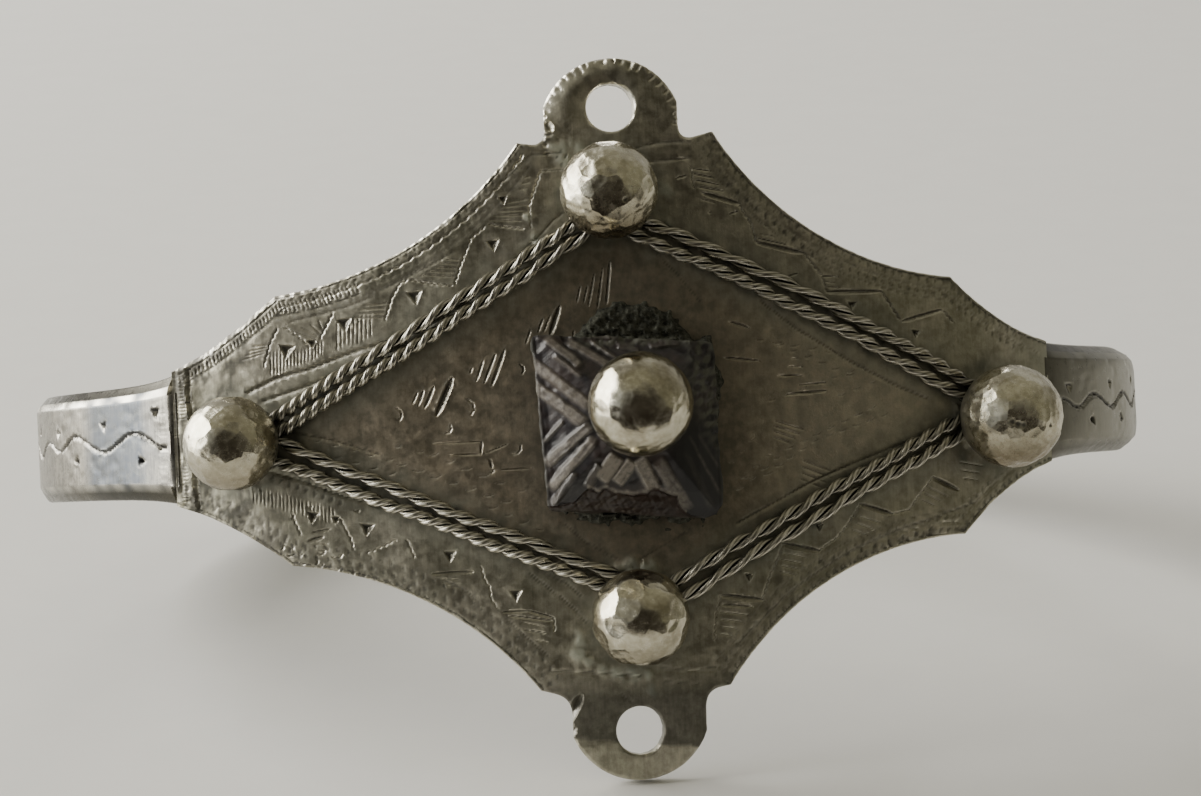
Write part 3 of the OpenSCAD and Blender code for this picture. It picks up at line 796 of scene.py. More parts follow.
def engrave_ears(work):
    """File nicks round the top ear, chips and wear of the lower one."""
    for p, (tx, tz) in spaced(ear_path(1, 0.0, -108, 92), 0.5):
        inward = (tz, -tx)
        reach = work.vary(0.15, 0.55)
        tilt = work.vary(-0.12, 0.12)
        q = (p[0] + inward[0] * reach + tx * tilt, p[1] + inward[1] * reach + tz * tilt)
        # nicks on the left, towards the window, get a stronger painted highlight
        bright = 1.0 if p[0] < 0.0 else 0.5
        out = (p[0] - inward[0] * 0.1, p[1] - inward[1] * 0.1)
        deep = work.vary(0.03, 0.14)
        work.cut(out, q, work.vary(0.2, 0.4), deep, tip=0.3, shine=bright, dark=0.15)
    for p, q, width, depth in (
        ((545, 123), (551, 130), 0.55, 0.3),
        ((566, 738), (575, 729), 0.5, 0.35),
        ((568, 722), (581, 696), 0.55, 0.35),
    ):
        work.cut(at(*p), at(*q), width, depth, shine=1.0, dark=0.2, tip=0.5)


# Meshes


def linear(colour):
    """An sRGB hex value as linear red, green, blue and alpha."""
    parts = [int(colour[k : k + 2], 16) / 255 for k in (1, 3, 5)]
    return tuple(p / 12.92 if p <= 0.04045 else ((p + 0.055) / 1.055) ** 2.4 for p in parts) + (1.0,)


def coordinates(bm):
    """Every vertex's place, a row to each."""
    return np.array([v.co for v in bm.verts])


def place(bm, points):
    """Moves every vertex to its point."""
    for v, p in zip(bm.verts, points):
        v.co = p


def raise_sheet(bm, heights):
    """Gives every vertex of a flat sheet its height."""
    for v, height in zip(bm.verts, heights):
        v.co.z = height


def draw_rim(bm, outline, cell):
    """Moves the rim's points onto the outline and evens the row behind it."""
    rim = [v for v in bm.verts if v.is_boundary]
    x, z = (np.array([v.co[k] for v in rim]) for k in (0, 1))
    nudge = cell / 10
    for _ in range(4):
        away = outline(x, z)
        gx = (outline(x + nudge, z) - outline(x - nudge, z)) / (2 * nudge)
        gz = (outline(x, z + nudge) - outline(x, z - nudge)) / (2 * nudge)
        steep = np.maximum(gx**2 + gz**2, 0.25)
        x, z = x - away * gx / steep, z - away * gz / steep
    for v, px, pz in zip(rim, x, z):
        v.co = (px, pz, 0)
    rim = set(rim)
    second = [v for v in bm.verts if v not in rim and any(e.other_vert(v) in rim for e in v.link_edges)]
    bmesh.ops.smooth_vert(bm, verts=second, factor=0.5, use_axis_x=True, use_axis_y=True)


def flat_sheet(half_x, half_z, cell, outline):
    """A flat sheet of square cells cut to an outline, with its rim drawn onto the outline."""
    bm = bmesh.new()
    segments = round(2 * half_x / cell), round(2 * half_z / cell)
    bmesh.ops.create_grid(bm, x_segments=segments[0], y_segments=segments[1], size=1)
    bmesh.ops.scale(bm, vec=(half_x, half_z, 1), verts=bm.verts[:])
    centres = np.array([f.calc_center_median() for f in bm.faces])
    outside = outline(centres[:, 0], centres[:, 1]) > 0
    spare = [f for f, out in zip(bm.faces[:], outside) if out]
    bmesh.ops.delete(bm, geom=spare, context="FACES")
    draw_rim(bm, outline, cell)
    return bm


def split_cells(bm, busy, outline, cell):
    """Splits the sheet's busy cells in four."""
    picked = [f for f, b in zip(bm.faces[:], busy) if b]
    edges = list(dict.fromkeys(e for f in picked for e in f.edges))
    bmesh.ops.subdivide_edges(bm, edges=edges, cuts=1, use_grid_fill=True)
    draw_rim(bm, outline, cell / 2)


def drop_walls(bm, depth):
    """Walls from the rim of a sheet down to depth. Returns their lower edges."""
    rim = [e for e in bm.edges if e.is_boundary]
    made = bmesh.ops.extrude_edge_only(bm, edges=rim)["geom"]
    for v in made:
        if isinstance(v, bmesh.types.BMVert):
            v.co.z = depth
    return [e for e in made if isinstance(e, bmesh.types.BMEdge) and e.is_boundary]


def close_under(bm, depth):
    """Walls and a flat underside for a sheet."""
    bmesh.ops.holes_fill(bm, edges=drop_walls(bm, depth), sides=0)


def close_ends(bm):
    """Joins a rolled-up sheet along its seam and fills its open ends."""
    bmesh.ops.remove_doubles(bm, verts=bm.verts[:], dist=1e-5)
    bmesh.ops.holes_fill(bm, edges=[e for e in bm.edges if e.is_boundary], sides=0)


def rings_of(edges):
    """Edges sorted into closed rings."""
    left, rings = dict.fromkeys(edges), []
    while left:
        ring, front = [], [left.popitem()[0]]
        while front:
            edge = front.pop()
            ring.append(edge)
            for v in edge.verts:
                for other in v.link_edges:
                    if other in left:
                        del left[other]
                        front.append(other)
        rings.append(ring)
    return rings


def ring_middle(ring):
    """Middle of a ring's edges."""
    return sum((e.verts[0].co + e.verts[1].co for e in ring), Vector()) / (2 * len(ring))


def ring_size(ring):
    """Length round a ring."""
    return sum(e.calc_length() for e in ring)


def stand(name, data):
    """A new object in the scene."""
    made = bpy.data.objects.new(name, data)
    bpy.context.scene.collection.objects.link(made)
    return made


def mesh_object(bm, name, material):
    """Makes a mesh an object of one material."""
    mesh = bpy.data.meshes.new(name)
    bm.to_mesh(mesh)
    bm.free()
    mesh.materials.append(material)
    return stand(name, mesh)


def finish_piece(bm, name, points, material, nodes, sharp=35.0):
    """Places a mesh, makes it an object, hangs it under the root body and hides the packed parts that it
    stands for.
    """
    place(bm, seat(points))
    bmesh.ops.recalc_face_normals(bm, faces=bm.faces[:])
    limit = radians(sharp)
    for f in bm.faces:
        f.smooth = True
    for e in bm.edges:
        e.smooth = len(e.link_faces) != 2 or e.calc_face_angle(0.0) < limit
    piece = mesh_object(bm, name, material)
    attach(piece, "root")
    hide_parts(*nodes)


def paint(bm, dark=0.0, shine=0.0, solder=0.0, tone=0.0):
    """Keeps four tones on the vertices, for the finishes to read."""
    tones = np.zeros((len(bm.verts), 4))
    for k, values in enumerate((dark, shine, solder, tone)):
        tones[:, k] = values
    layer = bm.verts.layers.float_color.new("marks")
    for v, row in zip(bm.verts, tones):
        v[layer] = row


def bevel_width(x, z):
    """Width of the worn bevel round the plate: widest from the upper left cusp to the band."""
    upper_left = unit(-x / 3 - 0.8) * (z > 0)
    broad = upper_left * unit((-x - 15.5) / 3)
    width = 0.08 + 0.04 * upper_left + 0.11 * broad
    return width * np.clip(1 + 0.3 * ripple(x, z, 1.6, 3) + 0.2 * ripple(x, z, 0.5, 4), 0.4, 1.6)


def engraved(x, z):
    """The plate's engraving over points of its sheet."""
    work = Engraving(x, z, seed=4)
    engrave_plate(work)
    return work


# How near a cut or the rim the first pass splits a cell, and the second, in millimetres
SPLIT_CUT, SPLIT_RIM = (0.14, 0.05), (0.4, 0.1)
# How far the sheet reaches past the ears' tips before it is cut
SPARE = 0.05


def plate_sheet(cell):
    """The plate's front as a flat sheet, its cells split twice near the cuts and the rim."""
    bm = flat_sheet(NECK_X, EAR_TIP + SPARE, cell, plate_outline)
    for level in range(2):
        middles = np.array([f.calc_center_median() for f in bm.faces])
        x, z = middles[:, 0], middles[:, 1]
        plan = engraved(x, z)
        near, rim = (plan.close, plan.close_fine)[level], SPLIT_RIM[level]
        if level:
            rim = np.maximum(rim, bevel_width(x, z) + 0.06)
        busy = (near > -SPLIT_CUT[level]) | (-plate_outline(x, z) < rim)
        split_cells(bm, busy, plate_outline, cell / 2**level)
    return bm


def plate_relief(work, x, z, inside, bevel):
    """Height of the plate's face over its even curve."""
    edge = np.maximum(bevel - inside, 0) ** 1.15 * 1.25
    dents = 0.028 * ripple(x, z, 5.0, 7) + 0.012 * ripple(x, z, 1.7, 8)
    held = unit(NECK_X - np.abs(x))
    # both ends rise to meet the band
    to_band = unit((np.abs(x) - 22.2) / 1.9)
    to_band = 0.23 * to_band**2 * (3 - 2 * to_band)
    # the lower ear's tip is bent back, and its right side further
    bent_tip = 0.17 * np.maximum(-17.3 - z, 0) + 0.2 * unit((x - 2.7) / 0.9) * unit(-15.5 - z)
    return -edge - work.groove + work.burr + work.lump + dents * held + to_band - bent_tip


def plate_tones(work, x, z, inside, bevel, sunk):
    """Tones of the plate's face: dirt and painted shade, bare silver and painted highlights, crust and the
    brown inside the rhombus.
    """
    worn = unit((bevel * 1.3 - inside) / 0.05) * unit(0.75 + 0.4 * ripple(x, z, 1.1, 21))
    # the worn bevel is painted brighter towards the upper left, where it faces the window: a painted
    # highlight over real wear
    upper_left = unit(0.5 - (x - 0.4 * z) / 14) * (z > -4)
    shine = np.maximum(work.shine, worn * (0.25 + 0.75 * upper_left))
    rhomb = np.abs(x) / 18.5 + np.abs(z) / 10.5
    brown = unit((1.08 - rhomb) * 4)
    # the top ear's turned-back rim at the left gets a painted highlight
    shine = np.maximum(shine, np.maximum(0.8 * sunk, 0.25 * brown * unit((x - 6) / 4)))
    # the plate is darkened in patches at its left end, and with painted shade under the lower bead and
    # round the stone
    left_patches = unit(0.6 + 0.7 * ripple(x, z, 1.5, 41) + 0.5 * ripple(x * 2.5, z, 0.7, 42))
    left = unit((-x - 15.5) / 5)
    below = unit((-13.4 - z) / 1.5) * unit((z + 17.45 + 0.12 * x) * 8)
    middle = unit(2.2 - np.hypot(x / 4, z / 6))
    dark = np.maximum(work.dark, np.maximum(0.9 * left * left_patches, 0.8 * below + 0.5 * middle))
    # crust dulls the right end, where it runs into the band
    solder = np.maximum(work.solder, 0.55 * unit((x - 21) / 2.8))
    return dark, shine, solder, brown


def make_plate():
    """The plate with its ears: a fine engraved front, walls and a plainer back."""
    cell = bpy.context.scene.bangle_sizes.plate_cell / MM
    bm = plate_sheet(cell)
    x, z, _flat = coordinates(bm).T
    work = engraved(x, z)
    # the rim's bevel stops short of the band
    full = NECK_X - 0.7
    inside = np.maximum(-plate_outline(np.clip(x, -full, full), z), 0)
    bevel = bevel_width(x, z)
    # the top ear's rim is turned back at the left
    sunk = 0.36 * unit(1 - inside / 1.2) ** 1.3 * unit((z - 15.6) / 1.5)
    sunk *= unit(0.8 - x / 2)
    raise_sheet(bm, plate_relief(work, x, z, inside, bevel) - sunk)
    paint(bm, *plate_tones(work, x, z, inside, bevel, sunk))
    lower = drop_walls(bm, WALL_FOOT - PLATE_T)
    back = flat_sheet(NECK_X, EAR_TIP + SPARE, 2 * cell, plate_outline)
    bmesh.ops.reverse_faces(back, faces=back.faces[:])
    for v in back.verts:
        v.co.z = BACK_BEVEL - PLATE_T if v.is_boundary else -PLATE_T
    spare = bpy.data.meshes.new("back")
    back.to_mesh(spare)
    back.free()
    bm.from_mesh(spare)
    bpy.data.meshes.remove(spare)
    known = set(lower)
    under = rings_of([e for e in bm.edges if e.is_boundary and e not in known])
    for ring in rings_of(lower):
        middle, size = ring_middle(ring), ring_size(ring)
        mate = min(under, key=lambda r: (ring_middle(r) - middle).length + abs(ring_size(r) - size))
        bmesh.ops.bridge_loops(bm, edges=ring + mate)
    points = on_face(*coordinates(bm).T)
    finish_piece(bm, "plate", points, tarnished_silver(), ["cuff"], 32)


# Rows of cells over the band's outer face, the section's points where the face starts and ends,
# and cells along the back
FACE_ROWS, FACE_START = 44, 7
FACE_END = FACE_START + FACE_ROWS
BACK_CELLS = 72


def band_section():
    """The band's section from the middle of its inner face round: offset from the face, height.
    Its upper edge is worn to a narrow facet over a steeper bevel."""
    half, inner = BAND_H / 2, BAND_RISE - BAND_T
    face = half - BEVEL_H
    soft = 0.07
    section = [(inner, 0), (inner, -half + INNER_BEVEL), (inner + INNER_BEVEL, -half)]
    section += [(BAND_RISE - BEVEL_D - soft * 2, -half), (BAND_RISE - BEVEL_D, -half + soft)]
    section += [(BAND_RISE - BEVEL_D * 0.5, -half + BEVEL_H * 0.5)]
    section += [(BAND_RISE - soft / 2, -face - soft)]
    section += [(BAND_RISE, -face + 2 * face * k / FACE_ROWS) for k in range(FACE_ROWS + 1)]
    section += [(BAND_RISE - soft / 2, face + soft), (BAND_RISE - 0.16, face + 0.36)]
    section += [(BAND_RISE - 0.25, face + 0.42), (BAND_RISE - 0.54, half - 0.1)]
    section += [(BAND_RISE - 0.66, half)]
    section += [(inner + INNER_BEVEL, half), (inner, half - INNER_BEVEL), (inner, 0)]
    return section


# Bends of the wave cut along each side of the band, and the dots beside it, from the plate on
BAND_BENDS = {
    -1: ((165, 448), (134, 433.5), (104, 452.5), (74, 437), (60, 452), (49, 443)),
    1: ((1064, 399), (1080, 407.5), (1097, 394), (1117, 406.5), (1128, 392)),
}
BAND_DOTS = {
    -1: ((155, 414), (141, 461), (103, 426), (77, 461), (58, 434)),
    1: ((1070, 387), (1096, 419), (1114.5, 383), (1127, 416.5)),
}
# Half a wave's length and its swing, where the photograph hides the band
HALF_WAVE, WAVE_SWING = 2.3, 0.45
SIDE_END_A = pi - BACK_A
SIDE_LENGTH = SIDE_R * (SIDE_END_A - NECK_A)
# How much wider the band's upper and lower edges are where they meet the plate, on each side
FLARES = {-1: (0.75, 0.5), 1: (0.25, 0.45)}
FLARE_LENGTH = 2.2


def engrave_band(work, side):
    """The rocked wave with a punched dot in each bend. Past what the photograph shows, it goes on
    in the same rhythm."""
    bends = [at_band(*p, side) for p in BAND_BENDS[side]]
    dots = [at_band(*p, side) for p in BAND_DOTS[side]]
    while bends[-1][0] + HALF_WAVE < SIDE_LENGTH - 1:
        up = 1 if bends[-1][1] < 0 else -1
        bends.append((bends[-1][0] + HALF_WAVE, WAVE_SWING * up))
        dots.append((bends[-1][0] + 0.2, -1.0 * up))
    path = []
    for (s0, h0), (s1, h1) in zip(bends, bends[1:]):
        for k in range(8):
            ease = (1 - cos(pi * k / 8)) / 2
            path.append((s0 + (s1 - s0) * k / 8, h0 + (h1 - h0) * ease))
    work.line(path, 0.3, 0.17, shine=0.35, dark=1.0)
    work.ladder(path, -0.13, 0.13, 0.3, 0.16, 0.15, dark=0.6)
    for k, spot in enumerate(dots):
        work.triangle(spot, 0.4, 0.22, turn=pi * (k % 2) + 0.4 * sin(k * 5), shine=0.5)
    if side < 0:
        work.cut((0.2, -2.7), (0.2, 4), 0.5, 0.14, dark=0.6)
        work.ladder([(1.0, -2.1), (1.0, 2.1)], -0.3, 0.3, 0.27, 0.1, 0.025, shine=0.4, dark=0.2)


def band_stations(fine):
    """Where the section stands, from one neck round to the other: side, 0 at the back, and angle."""
    cells = round(SIDE_R * (SIDE_END_A - NECK_A) / fine)
    side = [NECK_A + (SIDE_END_A - NECK_A) * k / cells for k in range(cells)]
    back = [(0, BACK_A - 2 * BACK_A * k / BACK_CELLS) for k in range(BACK_CELLS + 1)]
    return [(-1, a) for a in side] + back + [(1, a) for a in reversed(side)]


def make_band():
    """The band: a closed sweep round the sides and back, engraved on its sides."""
    section = band_section()
    stations = band_stations(bpy.context.scene.bangle_sizes.band_cell / MM)
    bm = bmesh.new()
    across, along = len(section) - 1, len(stations) - 1
    bmesh.ops.create_grid(bm, x_segments=along, y_segments=across, size=1)
    grid = coordinates(bm)
    i = np.rint((grid[:, 0] + 1) / 2 * along).astype(int)
    j = np.rint((grid[:, 1] + 1) / 2 * across).astype(int)
    kind, angle = (np.array([s[k] for s in stations])[i] for k in (0, 1))
    offset, height = (np.array([s[k] for s in section])[j] for k in (0, 1))
    s = np.where(kind != 0, SIDE_R * (angle - NECK_A), 0)
    skin = (j > 2) & (j < across - 2)
    outer = (j >= FACE_START) & (j <= FACE_END)
    dark, shine, sink = (np.zeros(len(grid)) for _ in range(3))
    for side in (-1, 1):
        pick = np.flatnonzero((kind == side) & outer)
        work = Engraving(s[pick], height[pick], seed=30 + side)
        engrave_band(work, side)
        sink[pick] = work.burr - work.groove
        dark[pick], shine[pick] = work.dark, work.shine
    # unevenness of the hand-filed face and edges
    wander = 0.02 * ripple(s * kind + 60 * (kind == 0) * angle, height, 4.0, 12)
    wander += 0.01 * ripple(s * kind, height * 2, 1.2, 13)
    lift = np.minimum(sink + wander * skin, 0) - 0.01 - 0.01 * (kind == 0)
    # the right side is worn round and stands a little further in
    right_back = unit(-angle / BACK_A) * (kind == 0)
    worn_round = unit(s / 6) * (kind > 0) + right_back
    bulge = unit((np.abs(height) - 1.3) / 1.8)
    lift -= skin * worn_round * 0.9 * (1 - np.sqrt(1 - bulge**2))
    lift -= 0.3 * (unit(s / 8) * (kind > 0) + right_back)
    # the cut at the left neck goes on over both bevels
    groove = np.where((kind < 0) & (s < 0.5) & skin & ~outer, 0.25, 0)
    lift -= groove
    # both edges widen to meet the plate
    flare = np.array([FLARES.get(k, (0, 0))[low] for k, low in zip(kind.tolist(), (height < 0) * 1)])
    share = unit((np.abs(height) - 1.0) / 2.05) * np.exp(-s / FLARE_LENGTH)
    height = height + np.sign(height) * flare * share
    reach, back_reach = SIDE_R + offset + lift, BACK_R + offset + lift
    side_x, side_y = kind * (SIDE_X + reach * np.sin(angle)), SIDE_Y - reach * np.cos(angle)
    back_x, back_y = -back_reach * np.sin(angle), BACK_Y + back_reach * np.cos(angle)
    x, y = np.where(kind != 0, side_x, back_x), np.where(kind != 0, side_y, back_y)
    place(bm, np.stack([x, y, height], axis=1))
    # the face's edges are worn, and painted bright as a highlight, most on the upper edge and at the left
    # towards the window
    edge = np.isin(j, (FACE_START - 1, FACE_START)) * 0.5 + np.isin(j, (FACE_END + 1, FACE_END + 2)) * 1.0
    edge *= unit(0.6 + 0.5 * ripple(s, height, 1.5, 5))
    shine = np.maximum(shine, edge * np.where(kind < 0, np.clip(1.6 - s / 20, 0.15, 1), 0.15))
    dull = (j > FACE_END + 2) * 1.0 + (j < FACE_START - 1) * 0.8
    dull = np.maximum(dull, (kind > 0) * 0.85 * np.exp(-s / 3))
    # the tone runs from dull olive silver to rubbed silver with the window's blue-grey reflection painted
    # in
    left_tone = np.interp(s, (0, 2.2, 3.4, 6.5, 8.5, 24, 36), (0.9, 0.8, 0.5, 0.5, 1, 1, 0.8))
    tone = np.where(kind < 0, left_tone, np.where(kind > 0, 0.8 * unit(s / 12 - 1), 0.8))
    paint(bm, np.maximum(dark, groove * 2.2), shine, dull, tone)
    close_ends(bm)
    finish_piece(bm, "band", coordinates(bm), band_silver(), ["cuff"])


# Hammered faces of each bead: how many, how flat, how sharp, the seed of their places, how glossy
HAMMERING = {
    "bead_top": (120, 0.976, 0.95, 5, 0.2),
    "bead_bottom": (40, 0.955, 1.0, 9, 0.7),
    "bead_left": (48, 0.968, 0.8, 14, 0.4),
    "bead_right": (110, 0.978, 0.8, 22, 0.1),
    "stone_ball": (58, 0.976, 0.6, 31, 1.0),
}
# Dents and pits: bead, place right and up of its middle as the photograph shows it, in radii,
# radius and depth in millimetres
BEAD_PITS = (
    ("bead_left", -0.83, 0.13, 0.12, 0.05), ("bead_left", 0.46, 0.66, 0.5, 0.1),
    ("bead_right", -0.1, -0.11, 0.22, 0.08), ("bead_right", 0.02, -0.16, 0.24, 0.1),
    ("bead_right", 0.13, -0.17, 0.2, 0.07), ("bead_right", 0.68, -0.18, 0.13, 0.07),
    ("bead_top", 0.34, -0.25, 0.16, 0.06), ("bead_top", 0.5, -0.5, 0.7, 0.12),
    ("bead_top", -0.2, -0.75, 0.6, 0.1), ("bead_bottom", 0.35, 0.55, 0.7, 0.09),
    ("bead_bottom", 0.0, 0.92, 0.4, 0.1), ("stone_ball", -0.78, -0.15, 0.7, 0.07),
    ("stone_ball", 0.75, -0.3, 0.6, 0.05),
)
# The hammered beads are drawn a little larger than the round they are flattened from
BEAD_SWELL = 1.025
# Turn from one hammered face to the next, which spreads them evenly over a round
GOLDEN_TURN = 2.399963


def hammered_bead(name, centre, radius, turn, node, flat=None):
    """A bead of many small hammered faces, with its pits and, on the stone, its seat."""
    bm = bmesh.new()
    bmesh.ops.create_icosphere(bm, subdivisions=6, radius=1.0)
    way = coordinates(bm)
    count, flatness, sharp, seed, gloss = HAMMERING[name]
    draw = random.Random(seed)
    reach = np.full(len(way), 1.0)
    for k in range(count):
        up = 1 - 2 * (k + 0.5) / count
        a = k * GOLDEN_TURN + draw.uniform(-0.35, 0.35)
        up = max(-1, min(1, up + draw.uniform(-0.6, 0.6) / count**0.5))
        level_part = sqrt(1 - up * up)
        flat_way = np.array([cos(a) * level_part, sin(a) * level_part, up])
        level = 1 - (1 - flatness) * draw.uniform(0.5, 1.15)
        facing = np.maximum(way @ flat_way, 0.2)
        reach = np.minimum(reach, level / facing)
    reach = 1 + (reach - 1) * sharp
    reach += 0.0035 * ripple(way[:, 0] * 9 + way[:, 1] * 4, way[:, 2] * 9 - way[:, 1] * 5, 2.4, seed)
    # towards the front a bead keeps to its true round
    ahead = -(way[:, 1] * cos(LEAN) + way[:, 2] * sin(LEAN))
    front = unit((0.97 - ahead) / 0.1)
    reach = np.minimum(reach * BEAD_SWELL, 0.995 + (BEAD_SWELL - 0.995) * front)
    dark = np.zeros(len(way))
    out = np.array([sin(turn), -cos(turn), 0])
    for bead, right, above, size, depth in BEAD_PITS:
        if bead == name:
            nearer = sqrt(1 - right**2 - above**2)
            spot = np.array(RIGHT * right + UP * above - AHEAD * nearer)
            near = unit(1 - np.linalg.norm(way - spot, axis=1) * radius / size)
            reach -= depth / radius * near**0.7
            dark = np.maximum(dark, unit(near * 2) * (size < 0.3))
    foot = unit(-(way @ out) * 1.4)
    points = np.array(centre) + way * (reach * radius)[:, None]
    if flat is not None:
        points[:, 1] = np.minimum(points[:, 1], flat)
    # the underside, darkened on the bead as painted shade
    under = unit(-way[:, 2] * 1.4 - 0.1)
    paint(bm, dark=np.maximum(dark, foot * 0.6), shine=gloss, tone=under)
    finish_piece(bm, name, points, bead_silver(), [node], 14)


def make_beads():
    """The four soldered beads."""
    for name, (x, z, radius, rise) in BEADS.items():
        px = np.array([x])
        centre = on_face(px, np.array([z]), rise)[0]
        hammered_bead(name, centre, radius, float(face_turn(px)[0]), "cuff")


def make_stone_ball():
    """The large bead on the stone's apex."""
    seat_y = -(STONE_TOP + FIT)
    centre = (CROWN_SPOT[0], seat_y - CROWN_R + CROWN_FLAT, CROWN_SPOT[1])
    hammered_bead("stone_ball", centre, CROWN_R, 0.0, "stone_ball", flat=seat_y)


def make_rope(name, row):
    """Two drawn wires twisted left-handed, as helical tubes with drawing ridges."""
    x0, z0, _z_mid, x1, z1, turns, tighter, waist = row
    draw = random.Random(name)
    sizes = bpy.context.scene.bangle_sizes
    strand_r = sizes.strand_radius / MM
    rings = round(turns * sizes.rope_rings)
    sides = 30
    bm = bmesh.new()
    for _strand in range(2):
        bmesh.ops.create_grid(bm, x_segments=rings, y_segments=sides, size=1)
    grid = coordinates(bm)
    strand = np.arange(len(grid)) >= len(grid) // 2
    hidden = 0.5 / hypot(x1 - x0, z1 - z0)
    u = (grid[:, 0] + 1) / 2 * (1 + 2 * hidden) - hidden
    psi = (grid[:, 1] + 1) * pi
    waver = [draw.uniform(0, tau) for _ in range(3)]

    def route(t):
        """The rope's middle line, a little unsteady as laid by hand."""
        x, z = rope_line(row, t)
        z = z + 0.035 * np.sin(t * 17 + waver[0]) + 0.02 * np.sin(t * 41 + waver[1])
        return on_face(x, z, ROPE_RISE + 0 * x)

    core = route(u)
    ahead = route(u + 0.002) - route(u - 0.002)
    ahead /= np.linalg.norm(ahead, axis=1)[:, None]
    turn = face_turn(x0 + (x1 - x0) * u)
    up = np.stack([np.sin(turn), -np.cos(turn), 0 * turn], axis=1)
    across = np.cross(ahead, up)
    across /= np.linalg.norm(across, axis=1)[:, None]
    out = np.cross(across, ahead)
    even = u + tighter * np.sin(pi * u) / pi + waist * np.sin(tau * u) / tau
    twist = tau * turns * even + pi * (strand + 0.5) + 0.25 * np.sin(u * 9 + waver[2])
    lay = np.cos(twist)[:, None] * across + np.sin(twist)[:, None] * out
    centre = core + (ROPE_R - strand_r) * lay
    # the strand's own direction, for a round section square to it
    tight = 1 + tighter * np.cos(pi * u) + waist * np.cos(tau * u)
    pace = hypot(x1 - x0, z1 - z0) / (turns * tight)
    around = -np.sin(twist)[:, None] * across + np.cos(twist)[:, None] * out
    slope = tau * (ROPE_R - strand_r) / pace
    way = ahead + around * slope[:, None]
    way /= np.linalg.norm(way, axis=1)[:, None]
    beside = np.cross(way, lay)
    # five ridges round a wire, fewer and coarser than a drawing plate leaves, so that they show
    line = (0.5 + 0.5 * np.cos(5 * psi)) ** 3
    ridge = 1 - 0.12 * line
    round_section = np.cos(psi)[:, None] * lay + np.sin(psi)[:, None] * beside
    place(bm, centre + (strand_r * ridge)[:, None] * round_section)
    dark = unit(-np.cos(psi) * 1.3 - 0.1) + 0.55 * line
    ends = unit(1 - np.minimum(u, 1 - u) * 20)
    paint(bm, dark=np.minimum(dark + 0.5 * ends, 1), shine=(0.5 - 0.5 * np.cos(5 * psi)) ** 2)
    close_ends(bm)
    finish_piece(bm, name, coordinates(bm), drawn_wire(), [name], sharp=60)


def stone_sides():
    """Each side of the stone: its first corner, and the way square out of it."""
    mx, mz = STONE_MIDDLE
    for k, (ax, az) in enumerate(STONE_CORNERS):
        bx, bz = STONE_CORNERS[(k + 1) % 4]
        nx, nz = bz - az, ax - bx
        if (mx - ax) * nx + (mz - az) * nz > 0:
            nx, nz = -nx, -nz
        yield ax, az, nx, nz


def stone_share(x, z):
    """How far out a point lies in the stone's outline: 0 in the middle, 1 on its edge."""
    mx, mz = STONE_MIDDLE
    share = np.zeros(len(x))
    for ax, az, nx, nz in stone_sides():
        reach = (ax - mx) * nx + (az - mz) * nz
        share = np.maximum(share, ((x - mx) * nx + (z - mz) * nz) / reach)
    return share


def stone_outline(x, z):
    """Distance outside the stone's outline, with its corners worn round."""
    dist = np.full(len(x), -FAR)
    for ax, az, nx, nz in stone_sides():
        side = ((x - ax) * nx + (z - az) * nz) / hypot(nx, nz)
        dist = -soft_min(-dist, -side, 0.5)
    x0, z0, radius = STONE_ROUND_CORNER
    rounded = np.where((x > x0) & (z < z0), np.hypot(x - x0, z - z0) - radius, -FAR)
    return np.maximum(dist, rounded) + 0.05 * ripple(x, z, 2.2, 17) + 0.02 * ripple(x, z, 0.7, 18)


# Ground steps that stand proud of the stone's faces, as the photograph shows them: ends in its
# pixels, width in millimetres, how rubbed and pale
STONE_STEPS = (
    # upper face
    ((546, 337), (580, 364), 0.40, 0.7), ((568, 341), (608, 364), 0.38, 0.75),
    ((591, 340), (616, 357), 0.17, 0.7), ((618, 345), (640, 350), 0.3, 0.3),
    ((650, 346), (680, 341), 0.3, 0.25),
    # left face, upper steps
    ((554, 356), (580, 375), 0.18, 0.4), ((530, 360), (587, 405), 0.46, 0.8),
    ((532, 384), (583, 422), 0.52, 0.85),
    # left face, lower steps
    ((544, 442), (563, 422), 0.15, 0.75), ((546, 464), (588, 427), 0.50, 0.75),
    ((551, 488), (592, 441), 0.48, 0.8), ((552, 505), (575, 474), 0.3, 0.25),
    # lower face
    ((600, 480), (617, 457), 0.72, 1.5), ((616, 483), (632, 462), 0.58, 1.4),
    ((637, 459), (654, 487), 0.66, 1.1), ((656, 461), (688, 508), 0.6, 0.55),
    ((643, 470), (660, 487), 0.3, 0.45), ((586, 487), (600, 466), 0.4, 0.35),
    # right face
    ((688, 437), (721, 492), 0.10, 0.35), ((697, 434), (720, 466), 0.09, 0.3),
    ((684, 452), (712, 506), 0.3, 0.1),
)
# Edge of the break in the stone's lower face
STONE_BREAK = (
    (560, 505), (575, 501), (586, 488), (598, 492), (605, 488), (615, 493), (635, 495), (648, 492),
    (654, 488), (661, 491), (676, 496), (678, 504), (686, 513), (704, 518), (724, 522),
)


